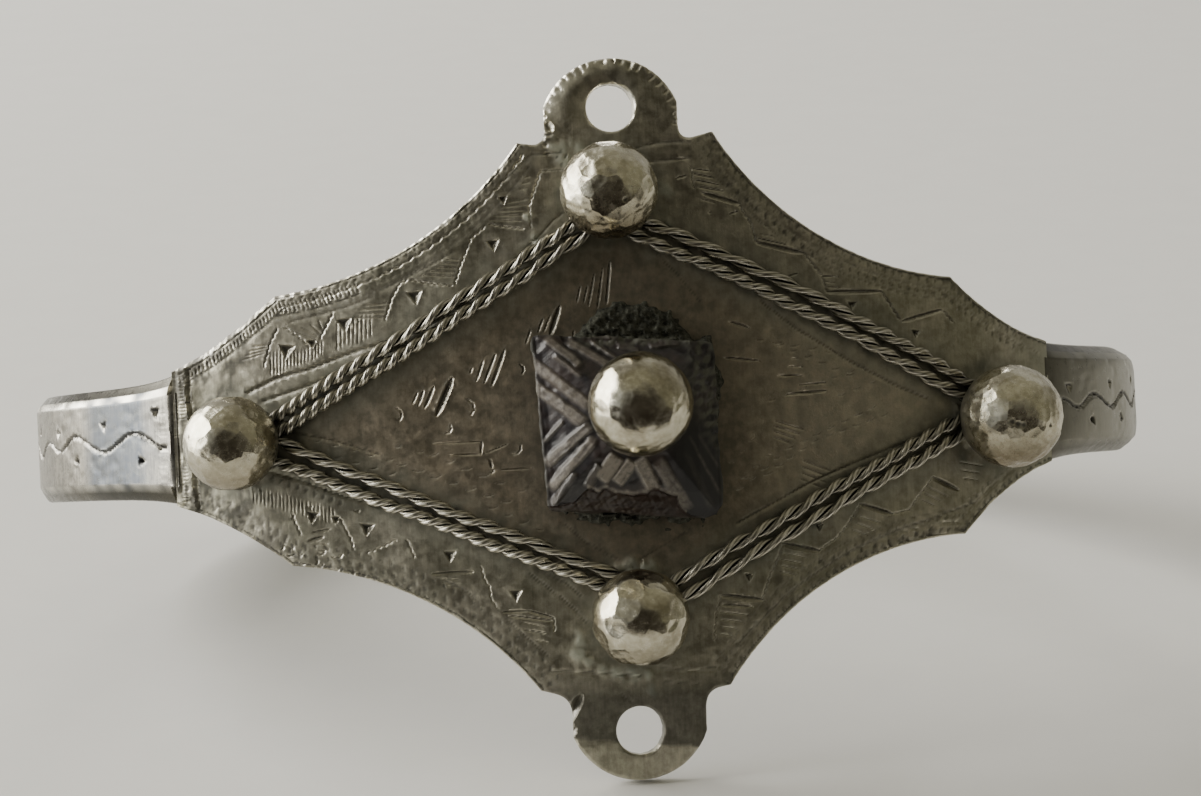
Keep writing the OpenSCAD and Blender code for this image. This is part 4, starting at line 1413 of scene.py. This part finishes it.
def step_cover(x, z):
    """How far each point lies on a ground step, and how pale the step is there."""
    cover, pale = np.zeros(len(x)), np.zeros(len(x))
    draw = random.Random(11)
    for a, b, width, tone in STONE_STEPS:
        (ax, az), (bx, bz) = at(*a, rise=1.4), at(*b, rise=2.3)
        dx, dz = bx - ax, bz - az
        length = hypot(dx, dz)
        t = ((x - ax) * dx + (z - az) * dz) / length**2
        side = ((x - ax) * dz - (z - az) * dx) / length
        side = side + 0.02 * ripple(x, z, 0.9, draw.randrange(99))
        here = unit((width * 0.57 - np.abs(side)) / 0.16 + 0.5)
        here *= unit((t + 0.04) * 9) * unit((1.08 - t) * 9)
        streak = np.clip(0.9 + 0.15 * ripple(side, t * length * 0.12, 0.22, draw.randrange(99)), 0.5, 1)
        cover = np.maximum(cover, here * (0.7 + 0.3 * streak))
        pale = np.maximum(pale, here * tone * streak)
    return cover, pale


# Chips of the stone's edges: place in the photograph's pixels, size and depth in millimetres
STONE_CHIPS = (
    ((712, 345), 1.3, 0.7), ((702, 352), 0.6, 0.3), ((534, 345), 0.5, 0.18), ((548, 500), 0.5, 0.2),
    ((600, 336), 0.5, 0.14), ((628, 338), 0.6, 0.16), ((655, 337), 0.45, 0.14), ((682, 340), 0.7, 0.25),
    ((716, 372), 0.5, 0.3), ((719, 400), 0.4, 0.2), ((719, 440), 0.4, 0.2), ((566, 336), 0.3, 0.15),
)


def stone_chips(x, z):
    """How deep the stone is broken along its lower edge and chipped along the others, where the
    break lies, and the dust along the break's own edge."""
    edge = plate_points(STONE_BREAK, 1.1)
    edge_z = np.interp(x, [p[0] for p in edge], [p[1] for p in edge])
    below = edge_z - z + 0.03 * ripple(x, z, 0.5, 71)
    chip = unit(below / 0.09) * (0.30 + 0.12 * unit(below / 0.6))
    chip += unit(below / 0.1) * 0.045 * ripple(x * 0.6, z * 1.6, 1.1, 72)
    chipped = unit(below / 0.08) * (x < edge[-1][0] - 0.3)
    chip *= chipped
    for spot, size, bite in STONE_CHIPS:
        cx, cz = at(*spot, rise=1.0)
        near = np.hypot(x - cx, z - cz) + 0.1 * ripple(x, z, 0.8, int(spot[0]))
        chip = np.maximum(chip, bite * unit(1 - near / size) ** 0.7)
    dust = 0.9 * unit(1 - np.abs(below + 0.1) / 0.16) * (x > edge[2][0]) * (x < edge[-3][0])
    return chip, chipped, dust


def make_stone():
    """The pyramid of dark violet glass, its faces ground in steps and its lower edge broken."""
    bm = flat_sheet(5.2, 6.0, bpy.context.scene.bangle_sizes.stone_cell / MM, stone_outline)
    x, z, _flat = coordinates(bm).T
    share = stone_share(x, z)
    height = np.interp(share, *zip(*STONE_PROFILE))
    # the steps stand proud of the faces, but for the worn corner
    cover, pale = step_cover(x, z)
    carved = unit((share - 0.2) * 5) * unit((0.99 - share) * 12)
    smooth_corner = unit((x - 1.6) / 1.2) * unit((0.6 - z) / 1.5)
    drop = 0.16 * carved * (1 - cover) * (1 - smooth_corner)
    ground = np.where(z + 0.9 * x < 1.4, 0.7 * x - z, x + z)
    drop += 0.006 * carved * (1 - smooth_corner) * ripple(ground * 3, (x + z) * 0.3, 0.6, 44)
    chip, chipped, dust = stone_chips(x, z)
    pale = np.maximum(pale, dust * unit(0.8 + 0.4 * ripple(x, z, 0.5, 35)))
    pale *= np.interp(z, (-3.6, -1.8), (1.15, 0.85))
    # cement dirt clings to the right side and the top
    side_dirt = unit((x - 2.9 - 0.25 * np.abs(z - 2)) / 0.8) * unit((z + 2.5) / 2)
    top_dirt = unit((z - 3.5) / 0.6) * unit((x + 3) / 1.5)
    crumbs = np.maximum(side_dirt, 0.8 * top_dirt) * unit(0.45 + 0.8 * ripple(x, z, 0.45, 33))
    inside = np.maximum(-stone_outline(x, z), 0)
    rounding = 0.16 * unit(1 - inside / 0.3) ** 2
    rise = STONE_FOOT + (STONE_TOP - STONE_FOOT) * height - drop * (1 - chipped) - chip - rounding
    rough = 1 - smooth_corner * 0.8
    rise += rough * (0.010 * ripple(x, z, 0.45, 6) + 0.02 * chipped * ripple(x, z, 0.3, 9))
    rise -= 0.05 * np.maximum(side_dirt, 0.7 * top_dirt) * unit(ripple(x, z, 0.3, 34))
    raise_sheet(bm, np.clip(rise, STONE_FOOT + 0.08, STONE_TOP))
    dirt = unit(crumbs + np.clip((share - 0.97) * 12, 0, 0.6))
    paint(bm, dark=dirt, shine=pale * (1 - chipped), solder=chipped, tone=smooth_corner)
    close_under(bm, STONE_FOOT)
    x, z, rise = coordinates(bm).T
    points = np.stack([x, -rise, z], axis=1)
    finish_piece(bm, "stone", points, violet_glass(), ["stone"], 24)


def cement_outline(x, z):
    """The bed under the stone, with the ragged smear above it and crumbs along its right side."""
    bed = stone_share(x, z) * 4.4 - 4.2
    ragged = 0.2 * ripple(x, z, 1.2, 51) + 0.14 * ripple(x, z, 0.5, 52)
    smear = np.hypot((x - 0.5) * 0.93, z - CEMENT_SPOT[1] - 0.2) - CEMENT_R + 0.3 + ragged * 0.6
    right = np.hypot((x - 4.4) * 1.7, (z - 1.7) * 0.62) - 1.45 + ragged
    below = np.abs(z + 5.2 + 0.1 * x) - 0.3 + 1.1 * ragged + 0.6 * np.maximum(np.abs(x - 0.2) - 2.9, 0)
    return np.minimum(np.minimum(bed, smear), np.minimum(right, below))


def make_cement():
    """The black cement that holds the stone."""
    bm = flat_sheet(5.8, 6.6, 0.1, cement_outline)
    x, z, _flat = coordinates(bm).T
    inside = np.maximum(-cement_outline(x, z), 0)
    crumbs = 0.06 * ripple(x, z, 0.5, 61) + 0.05 * ripple(x, z, 0.28, 62, 14)
    height = unit(inside / 0.5) ** 0.6 * (0.34 + crumbs)
    under = stone_share(x, z) < 1.02
    rise = np.where(under, np.minimum(height + 0.1, STONE_FOOT - FIT), height)
    raise_sheet(bm, np.maximum(rise, 0.02))
    close_under(bm, 0.01)
    points = on_face(*coordinates(bm).T)
    finish_piece(bm, "cement_bed", points, setting_cement(), ["cement_bed"])


# Finishes

# Kinds of node: its type, the inputs that its values go to, its output and its settings
KINDS = {
    "place": ("TexCoord", (), "Object", {}),
    "way": ("TexCoord", (), "Generated", {}),
    "camera_ray": ("LightPath", (), "Is Camera Ray", {}),
    "marks": ("Attribute", (), "Color", {"attribute_name": "marks"}),
    "parts": ("SeparateColor", ("Color",), 0, {}),
    "axes": ("SeparateXYZ", (0,), 0, {}),
    "facing": ("VectorMath", (0, 1), "Value", {"operation": "DOT_PRODUCT"}),
    "map": ("Mapping", ("Vector", "Scale", "Rotation"), 0, {}),
    "noise": ("TexNoise", ("Vector", "Scale", "Detail", "Roughness"), 0, {}),
    "cells": ("TexVoronoi", ("Vector", "Scale"), "Distance", {}),
    "range": ("MapRange", (0, 1, 2, 3, 4), 0, {}),
    "mix": ("Mix", (0, 6, 7), 2, {"data_type": "RGBA"}),
    "tint": ("Mix", (0, 6, 7), 2, {"data_type": "RGBA", "blend_type": "MULTIPLY"}),
    "bump": ("Bump", ("Height", "Distance", "Strength", "Normal"), 0, {}),
}


def join(made, values):
    """Gives a node's inputs their values: another node's output is linked, anything else is set."""
    for name, value in values.items():
        if isinstance(value, bpy.types.NodeSocket):
            made.id_data.links.new(value, made.inputs[name])
        elif value is not None:
            made.inputs[name].default_value = value


def node(tree, kind, *values):
    """Adds a node with its settings and links and gives its output. A kind that is not in the
    table is an operation on numbers."""
    family, sockets, output, settings = KINDS.get(kind, ("Math", (0, 1, 2), 0, {"operation": kind}))
    made = tree.nodes.new("ShaderNode" + family)
    for name, value in settings.items():
        setattr(made, name, value)
    join(made, dict(zip(sockets, values)))
    return made.outputs[output]


def blank_material(name):
    """The colours, a new material, a call that adds a node to it, its coordinates in millimetres
    and the piece's marks. A noise's scale is its swells to a millimetre."""
    material = bpy.data.materials.new(name)
    material.use_nodes = True
    add = partial(node, material.node_tree)
    where = add("map", add("place"), (1 / MM,) * 3, (LEAN, 0, 0))
    marks = add("marks")
    colours = bpy.context.scene.bangle_colours
    return colours, material, add, where, (*add("parts", marks).node.outputs, marks.node.outputs["Alpha"])


def finished(material, values, bumps=()):
    """The material with its shader's values and its bumps, one over another: height, size in
    millimetres and strength of each."""
    normal = None
    for height, size, strength in bumps:
        normal = node(material.node_tree, "bump", height, size * MM, strength, normal)
    join(material.node_tree.nodes["Principled BSDF"], {**values, "Normal": normal})
    return material


@cache
def tarnished_silver():
    """Old silver, hand-filed and engraved: olive and brown tarnish dulls it, and cuts and edges
    rubbed bare still shine, with painted highlights where they face the window and painted shade on walls
    away from it."""
    colours, material, add, where, (dark, shine, solder, inner) = blank_material("tarnished_silver")
    clouds = add("noise", where, 0.22, 5, 0.55)
    spots = add("noise", where, 1.6, 6, 0.65)
    grain = add("noise", where, 9.0, 3, 0.55)
    # file marks are drawn 0.2 mm apart, coarser than real ones, so that they show
    file_marks = add("noise", add("map", where, (1.6, 1, 0.12)), 5.0, 4, 0.6)
    tarnish = add("mix", add("range", clouds, 0.35, 0.65), colours.tarnish, colours.olive)
    brown = add("MULTIPLY", inner, add("range", spots, 0.3, 0.62, 0.45, 1.0))
    tarnish = add("mix", brown, tarnish, colours.brown)
    mottle = add("mix", add("range", spots, 0.38, 0.68), (0.62, 0.62, 0.6, 1), (1.25, 1.25, 1.25, 1))
    tarnish = add("tint", 0.8, tarnish, mottle)
    streak = add("mix", add("range", file_marks, 0.35, 0.7), (0.87, 0.87, 0.87, 1), (1.2, 1.2, 1.18, 1))
    tarnish = add("tint", add("MULTIPLY_ADD", inner, -0.3, 0.6), tarnish, streak)
    cracks = add("ABSOLUTE", add("SUBTRACT", add("noise", where, 0.45, 7, 0.7), 0.5))
    veins = add("MULTIPLY", add("range", cracks, 0.0, 0.03, 1.0, 0.0), add("range", spots, 0.4, 0.6))
    veined = add("MULTIPLY", veins, add("MULTIPLY_ADD", solder, 0.5, 0.1))
    bare = add("MULTIPLY", shine, add("range", grain, 0.3, 0.55, 0.55, 1.0))
    # bare silver, and the painted highlights on lit walls and edges
    metal = add("mix", bare, tarnish, colours.bare)
    crusted = add("MULTIPLY", add("POWER", solder, 1.6), 0.9)
    metal = add("mix", crusted, metal, colours.solder)
    # dirt, and the painted shade of walls, ropes and beads
    metal = add("mix", add("MULTIPLY", dark, 0.85), metal, colours.soot_and_shade)
    metal = add("mix", veined, metal, colours.crust)
    dull = add("MAXIMUM", add("MULTIPLY", dark, 0.7), add("MULTIPLY", solder, 0.6))
    rough = add("range", spots, 0.3, 0.7, 0.34, 0.5)
    rough = add("MULTIPLY_ADD", bare, -0.16, rough)
    rough = add("MULTIPLY_ADD", dull, 0.25, rough)
    return finished(
        material,
        {"Base Color": metal, "Metallic": add("SUBTRACT", 0.97, dull), "Roughness": rough},
        ((file_marks, 0.01, 0.35), (spots, 0.024, 0.65), (grain, 0.006, 0.6), (veins, 0.015, 0.25)),
    )


@cache
def band_silver():
    """The band's silver: rubbed bright by wear at the left, with the window's blue-grey reflection painted
    in, olive and dull at the right, dark along its bevels, with file marks across it and painted
    highlights on its edges."""
    colours, material, add, where, (dark, shine, dull, tone) = blank_material("worn_band_silver")
    clouds = add("noise", where, 0.3, 5, 0.55)
    spots = add("noise", where, 2.2, 5, 0.6)
    # file marks across the band, drawn as coarse as the plate's
    file_marks = add("noise", add("map", where, (1.8, 1.8, 0.14)), 4.5, 4, 0.6)
    cloudy = add("MULTIPLY_ADD", clouds, 0.5, add("SUBTRACT", tone, 0.25))
    # rubbed silver with a painted blue-grey reflection of the window
    metal = add("mix", add("range", tone, 0.0, 0.5), colours.band_dull, colours.band_rubbed_reflection)
    metal = add("mix", add("range", cloudy, 0.6, 0.95), metal, colours.band_warm)
    streak = add("mix", add("range", file_marks, 0.35, 0.68), (0.7, 0.71, 0.73, 1), (1.3, 1.29, 1.26, 1))
    metal = add("tint", add("MULTIPLY_ADD", tone, 0.6, 0.2), metal, streak)
    metal = add("mix", add("range", spots, 0.35, 0.65, 0.35, 0.0), metal, (0.12, 0.12, 0.1, 1))
    metal = add("mix", dull, metal, colours.band_bevel)
    # bare silver of worn edges and cuts, with the painted highlights
    metal = add("mix", add("MULTIPLY", shine, 0.9), metal, colours.bare)
    metal = add("mix", add("MULTIPLY", dark, 0.9), metal, colours.soot_and_shade)
    rough = add("MULTIPLY_ADD", tone, -0.05, add("range", spots, 0.3, 0.7, 0.25, 0.4))
    return finished(
        material,
        {"Base Color": metal, "Metallic": add("MULTIPLY_ADD", dark, -0.6, 1.0), "Roughness": rough},
        ((file_marks, 0.01, 0.45), (spots, 0.015, 0.45)),
    )


@cache
def bead_silver():
    """Hammered silver, kept bright by rubbing: warm, with brown painted shade underneath, cloudy stains
    and fine dull scuffs. The bead on the stone is rubbed the most."""
    colours, material, add, where, (dark, gloss, _solder, under) = blank_material("hammered_silver")
    clouds = add("noise", where, 0.5, 5, 0.55)
    spots = add("noise", where, 2.6, 6, 0.65)
    scuffs = add("noise", where, 7.0, 3, 0.55)
    # painted shade on the underside, less on the glossier beads
    shaded = add("MULTIPLY", under, add("MULTIPLY_ADD", gloss, -0.55, 0.95))
    cloudy = add("MAXIMUM", shaded, add("range", clouds, 0.4, 0.7, 0.0, 0.7))
    metal = add("mix", cloudy, colours.bead, colours.bead_cloud_and_shade)
    mottle = add("mix", add("range", spots, 0.38, 0.66), (0.72, 0.7, 0.64, 1), (1.1, 1.1, 1.1, 1))
    metal = add("tint", 0.85, metal, mottle)
    metal = add("mix", add("MULTIPLY", dark, 0.85), metal, colours.soot_and_shade)
    rough = add("range", spots, 0.35, 0.7, 0.22, 0.36)
    rough = add("MULTIPLY_ADD", gloss, -0.09, rough)
    rough = add("MULTIPLY_ADD", dark, 0.3, rough)
    # marks of the hammer, 0.7 mm wide
    blows = add("POWER", add("cells", where, 1.4), 2.0)
    blows = add("MULTIPLY", blows, add("SUBTRACT", 1.1, gloss))
    return finished(
        material,
        {"Base Color": metal, "Metallic": add("MULTIPLY_ADD", dark, -0.5, 1.0), "Roughness": rough},
        ((blows, 0.09, 0.9), (clouds, 0.06, 0.35), (spots, 0.016, 0.5), (scuffs, 0.004, 0.5)),
    )


@cache
def drawn_wire():
    """Drawn silver wire: bright along its ridges, black in the twist."""
    colours, material, add, where, (dark, ridge, _solder, _tone) = blank_material("drawn_wire")
    spots = add("noise", where, 2.0, 5, 0.6)
    worn = add("MULTIPLY", ridge, add("range", spots, 0.3, 0.6, 1.0, 0.5))
    metal = add("mix", worn, colours.wire_dull, colours.wire)
    metal = add("mix", add("range", dark, 0.1, 0.9), metal, colours.soot_and_shade)
    metallic = add("MULTIPLY_ADD", dark, -0.45, 1.0)
    rough = add("range", spots, 0.3, 0.7, 0.24, 0.4)
    return finished(
        material,
        {"Base Color": metal, "Metallic": metallic, "Roughness": rough},
        ((spots, 0.01, 0.5),),
    )


@cache
def violet_glass():
    """Dark violet glass: its ground steps are rubbed dull and dusty, its break is red-brown and
    one worn corner is still black."""
    colours, material, add, where, (crumbs, pale, chipped, glossy) = blank_material("violet_glass")
    veil = add("noise", where, 1.2, 6, 0.65)
    scratches = add("noise", where, 3.5, 5, 0.7)
    warm = add("noise", where, 0.45, 4, 0.6)
    dust = add("MULTIPLY", pale, add("range", scratches, 0.3, 0.6, 0.3, 1.0))
    glass = add("mix", add("range", veil, 0.35, 0.7), colours.glass, colours.glass_grey)
    glass = add("mix", add("range", warm, 0.45, 0.62, 0.0, 0.7), glass, colours.glass_warm)
    glass = add("mix", glossy, glass, colours.glass)
    glass = add("mix", dust, glass, colours.glass_pale)
    breaks = add("mix", add("range", scratches, 0.4, 0.75), colours.glass_break, colours.glass_warm)
    glass = add("mix", add("MULTIPLY", chipped, 0.95), glass, breaks)
    glass = add("mix", add("MULTIPLY", crumbs, 0.85), glass, colours.cement_dust)
    rough = add("MULTIPLY_ADD", dust, 0.12, 0.26)
    for tone, rougher in ((scratches, 0.16), (glossy, 0.15), (crumbs, 0.4)):
        rough = add("MULTIPLY_ADD", tone, rougher, rough)
    return finished(
        material,
        {"Base Color": glass, "Roughness": rough, "IOR": 1.52},
        ((scratches, 0.02, 0.5), (veil, 0.03, 0.4)),
    )


@cache
def setting_cement():
    """Black pitch cement: crumbly, matt, with dusty grains."""
    colours, material, add, where, _marks = blank_material("setting_cement")
    crumbs = add("noise", where, 3.2, 7, 0.72)
    dust = add("noise", where, 8.0, 3, 0.55)
    black = add("mix", add("range", crumbs, 0.38, 0.66), colours.cement, colours.cement_dust)
    black = add("mix", add("range", dust, 0.62, 0.75, 0.0, 0.45), black, colours.solder)
    return finished(
        material,
        {"Base Color": black, "Roughness": 0.85, "Specular IOR Level": 0.25},
        ((crumbs, 0.12, 0.8), (dust, 0.03, 0.6)),
    )


@cache
def floor_paper():
    """Matt pale card."""
    material = bpy.data.materials.new("pale_card")
    material.use_nodes = True
    add = partial(node, material.node_tree)
    # the card's fibre would not show, so it is drawn as clouds 4 mm wide
    fibre = add("range", add("noise", add("place"), 260.0, 4, 0.55), 0.3, 0.7, 0.0, 0.06)
    card = add("mix", fibre, bpy.context.scene.bangle_colours.floor, (0.5, 0.5, 0.49, 1))
    return finished(material, {"Base Color": card, "Roughness": 0.9, "Specular IOR Level": 0.2})


# Stage


def area_light(name, spot, aim, size, power, colour):
    """A soft light at spot, turned to aim, both in metres."""
    data = bpy.data.lights.new(name, "AREA")
    data.shape = "RECTANGLE"
    data.size, data.size_y = size
    data.energy, data.color = power, linear(colour)[:3]
    lamp = stand(name, data)
    lamp.location = spot
    lamp.visible_camera = False
    lamp.rotation_mode = "QUATERNION"
    lamp.rotation_quaternion = (Vector(aim) - Vector(spot)).to_track_quat("-Z", "Y")


def make_camera():
    """The photograph's camera, at its angle to the leaning plate."""
    data = bpy.data.cameras.new("camera")
    data.sensor_width = 36.0
    data.lens = PHOTO_FOCUS / PHOTO_W * data.sensor_width
    data.clip_start, data.clip_end = 0.005, 20.0
    camera = stand("camera", data)
    lean = Matrix.Rotation(-LEAN, 3, "X")
    axes = Matrix([lean @ RIGHT, lean @ UP, lean @ -AHEAD]).transposed()
    spot = seat(np.array([list(CAMERA_AT)]))[0]
    camera.matrix_world = Matrix.Translation(Vector(spot)) @ axes.to_4x4()
    bpy.context.scene.camera = camera


def make_world():
    """A room with a window at the left: grey-blue under the window, olive to the right and above,
    pale behind, and dark on the camera's side. The camera itself sees plain pale grey."""
    world = bpy.data.worlds.new("room")
    bpy.context.scene.world = world
    world.use_nodes = True
    add = partial(node, world.node_tree)
    way = add("way")
    x, y, z = add("axes", way).node.outputs
    room = add("mix", add("range", x, -0.8, 0.7), linear("#a4a6a6"), linear("#7f7c6b"))
    front = add("facing", way, (-0.05, -0.99, 0.12))
    low = add("MULTIPLY", add("range", z, 0.02, -0.12), add("range", y, 0.1, -0.3))
    for share, tone in (
        (add("range", z, 0.3, 0.95), "#908c79"),
        (add("range", y, 0.0, 0.8), "#b0aea8"),
        (add("range", front, 0.62, 0.93), "#423e37"),
        (low, "#35302a"),
        (add("camera_ray"), "#cbcac7"),
    ):
        room = add("mix", share, room, linear(tone))
    join(world.node_tree.nodes["Background"], {"Color": room, "Strength": 1.0})


# Front edge of the floor and how far it reaches, in metres
FLOOR_FRONT, FLOOR_REACH = -0.056, 1.2
# Lights: place, aim, width and height in metres, and colour
LIGHTS = {
    "window": ((-0.583, 0.212, 0.33), (0, 0, 0.33), (0.8, 0.66), "#fffcf4"),
    "glow": ((-0.3, 0.15, 0.002), (-0.3, 0.15, 1), (0.42, 0.42), "#fffdf8"),
    "lamp": ((0.02, 0.62, 0.26), (0, 0, 0.02), (0.14, 0.08), "#fffaf2"),
}


def make_stage():
    """Floor, lights, room and camera. The pale floor ends just in front of the bangle, so that
    the plate mirrors the dark room."""
    bm = bmesh.new()
    bmesh.ops.create_grid(bm, x_segments=8, y_segments=8, size=1)
    for v in bm.verts:
        v.co.x *= FLOOR_REACH
        v.co.y = FLOOR_FRONT + (v.co.y + 1) / 2 * (FLOOR_REACH - FLOOR_FRONT)
    floor = mesh_object(bm, "floor", floor_paper())
    look = bpy.context.scene.bangle_stage
    for name, (spot, aim, size, tone) in LIGHTS.items():
        area_light(name, spot, aim, size, getattr(look, name + "_power"), tone)
    make_world()
    make_camera()


# The add-on


def millimetres(name, value, text, **more):
    """A length that the user can change, given in millimetres."""
    return FloatProperty(
        name=name, description=text, default=value * MM, unit="LENGTH", precision=5, **more
    )


def colour(name, value, text):
    """A colour that the user can change, given as an sRGB hex value."""
    return FloatVectorProperty(
        name=name, description=text, default=linear(value), size=4, subtype="COLOR", min=0, max=1
    )


def watts(name, value, text):
    """A light's power that the user can change, given in watts."""
    return FloatProperty(name=name, description=text, default=value, min=0, unit="POWER")


class BangleSizes(bpy.types.PropertyGroup):
    """Sizes of the detail."""

    plate_cell: millimetres("Plate cell", 0.24, "Width of a cell of the plate, before splitting", min=1e-4)
    band_cell: millimetres("Band cell", 0.12, "Length of a cell along the band's sides", min=5e-5)
    stone_cell: millimetres("Stone cell", 0.055, "Width of a cell of the stone", min=3e-5)
    strand_radius: millimetres("Strand radius", 0.2, "Radius of one wire of a rope", min=1e-5)
    rope_rings: IntProperty(
        name="Rings to a turn", description="Rings of faces to each turn of a rope", default=22, min=8
    )


class BangleColours(bpy.types.PropertyGroup):
    """Colours of the finishes."""

    tarnish: colour("Tarnish", "#bab5a6", "Dull silver of the plate")
    olive: colour("Olive tarnish", "#a7a493", "Greener clouds on the plate")
    brown: colour("Brown tarnish", "#aba08d", "Brown patina inside the rhombus")
    # bare silver, also used for the painted highlights
    bare: colour("Bare silver", "#f0ecdf", "Cuts and edges that are rubbed bare")
    solder: colour("Solder", "#b8bbad", "Grey-green solder and its crust")
    crust: colour("Crust", "#a3a595", "Pale veins of crust in the tarnish")
    # black of dirt, also used for painted shade
    soot_and_shade: colour("Soot", "#14120f", "Black of the grooves")
    bead: colour("Bead", "#e4e0ce", "Rubbed silver of the beads")
    # brown clouds, also used for the painted shade under the beads
    bead_cloud_and_shade: colour("Bead cloud", "#716650", "Browner clouds on the beads")
    band_dull: colour("Band", "#868479", "Dull silver of the band")
    # rubbed silver, with the window's blue-grey reflection painted into it
    band_rubbed_reflection: colour("Worn band", "#565a60", "Rubbed silver of the band")
    band_warm: colour("Warm band", "#8c887f", "Warmer clouds of the rubbed silver")
    band_bevel: colour("Band bevel", "#4a4840", "Dull silver of the band's bevels")
    wire: colour("Wire", "#efebe0", "Silver of the wires")
    wire_dull: colour("Dull wire", "#a9a596", "Tarnish of the wires")
    glass: colour("Glass", "#1a181b", "Dark violet glass")
    glass_grey: colour("Grey glass", "#413d3e", "Its greyer clouds")
    glass_warm: colour("Warm glass", "#3d322e", "Its reddish clouds")
    glass_pale: colour("Rubbed glass", "#928b80", "Rubbed steps of the glass")
    glass_break: colour("Broken glass", "#2d2019", "Red-brown breaks of the glass")
    cement: colour("Cement", "#2b2c27", "Black of the cement")
    cement_dust: colour("Cement dust", "#64655a", "Dust on the cement")
    floor: colour("Floor", "#e7e6e3", "Pale floor")


class BangleStage(bpy.types.PropertyGroup):
    """Light of the stage."""

    window_power: watts("Window", 14.8, "Power of the window light")
    glow_power: watts("Glow", 1.1, "Power of the light off the floor")
    lamp_power: watts("Lamp", 0.6, "Power of the small light behind")


class BANGLE_OT_plate(bpy.types.Operator):
    """Make the engraved plate with its ears"""

    bl_idname = "bangle.plate"
    bl_label = "Plate"

    def execute(self, context):
        make_plate()
        return {"FINISHED"}


class BANGLE_OT_band(bpy.types.Operator):
    """Make the band"""

    bl_idname = "bangle.band"
    bl_label = "Band"

    def execute(self, context):
        make_band()
        return {"FINISHED"}


class BANGLE_OT_beads(bpy.types.Operator):
    """Make the four soldered beads and the bead on the stone"""

    bl_idname = "bangle.beads"
    bl_label = "Beads"

    def execute(self, context):
        make_beads()
        make_stone_ball()
        return {"FINISHED"}


class BANGLE_OT_ropes(bpy.types.Operator):
    """Make the eight ropes of twisted wire"""

    bl_idname = "bangle.ropes"
    bl_label = "Ropes"

    def execute(self, context):
        for name, row in ROPES.items():
            make_rope(name, row)
        return {"FINISHED"}


class BANGLE_OT_stone(bpy.types.Operator):
    """Make the glass stone and its cement"""

    bl_idname = "bangle.stone"
    bl_label = "Stone"

    def execute(self, context):
        make_cement()
        make_stone()
        return {"FINISHED"}


class BANGLE_OT_stage(bpy.types.Operator):
    """Make the floor, the lights, the room and the camera"""

    bl_idname = "bangle.stage"
    bl_label = "Stage"

    def execute(self, context):
        make_stage()
        return {"FINISHED"}


OPERATORS = (
    BANGLE_OT_plate, BANGLE_OT_band, BANGLE_OT_beads, BANGLE_OT_ropes, BANGLE_OT_stone, BANGLE_OT_stage
)
GROUPS = {"bangle_sizes": BangleSizes, "bangle_colours": BangleColours, "bangle_stage": BangleStage}


class BANGLE_PT_pieces(bpy.types.Panel):
    """Pieces, sizes and colours of the bangle"""

    bl_label = "Bangle"
    bl_space_type = "VIEW_3D"
    bl_region_type = "UI"
    bl_category = "Bangle"

    def draw(self, context):
        for group in GROUPS:
            box = self.layout.box()
            held = getattr(context.scene, group)
            for name in held.bl_rna.properties.keys():
                if name not in ("name", "rna_type"):
                    box.prop(held, name)
        for operator in OPERATORS:
            self.layout.operator(operator.bl_idname)


CLASSES = (*GROUPS.values(), *OPERATORS, BANGLE_PT_pieces)


def register():
    """Makes the groups, operators and panel known."""
    for made in CLASSES:
        bpy.utils.register_class(made)
    for name, group in GROUPS.items():
        setattr(bpy.types.Scene, name, PointerProperty(type=group))


def unregister():
    """Takes them out again."""
    for name in GROUPS:
        delattr(bpy.types.Scene, name)
    for made in reversed(CLASSES):
        bpy.utils.unregister_class(made)


def main():
    """Makes every piece and the stage."""
    register()
    for operator in OPERATORS:
        family, name = operator.bl_idname.split(".")
        getattr(getattr(bpy.ops, family), name)()


if __name__ == "__main__":
    main()
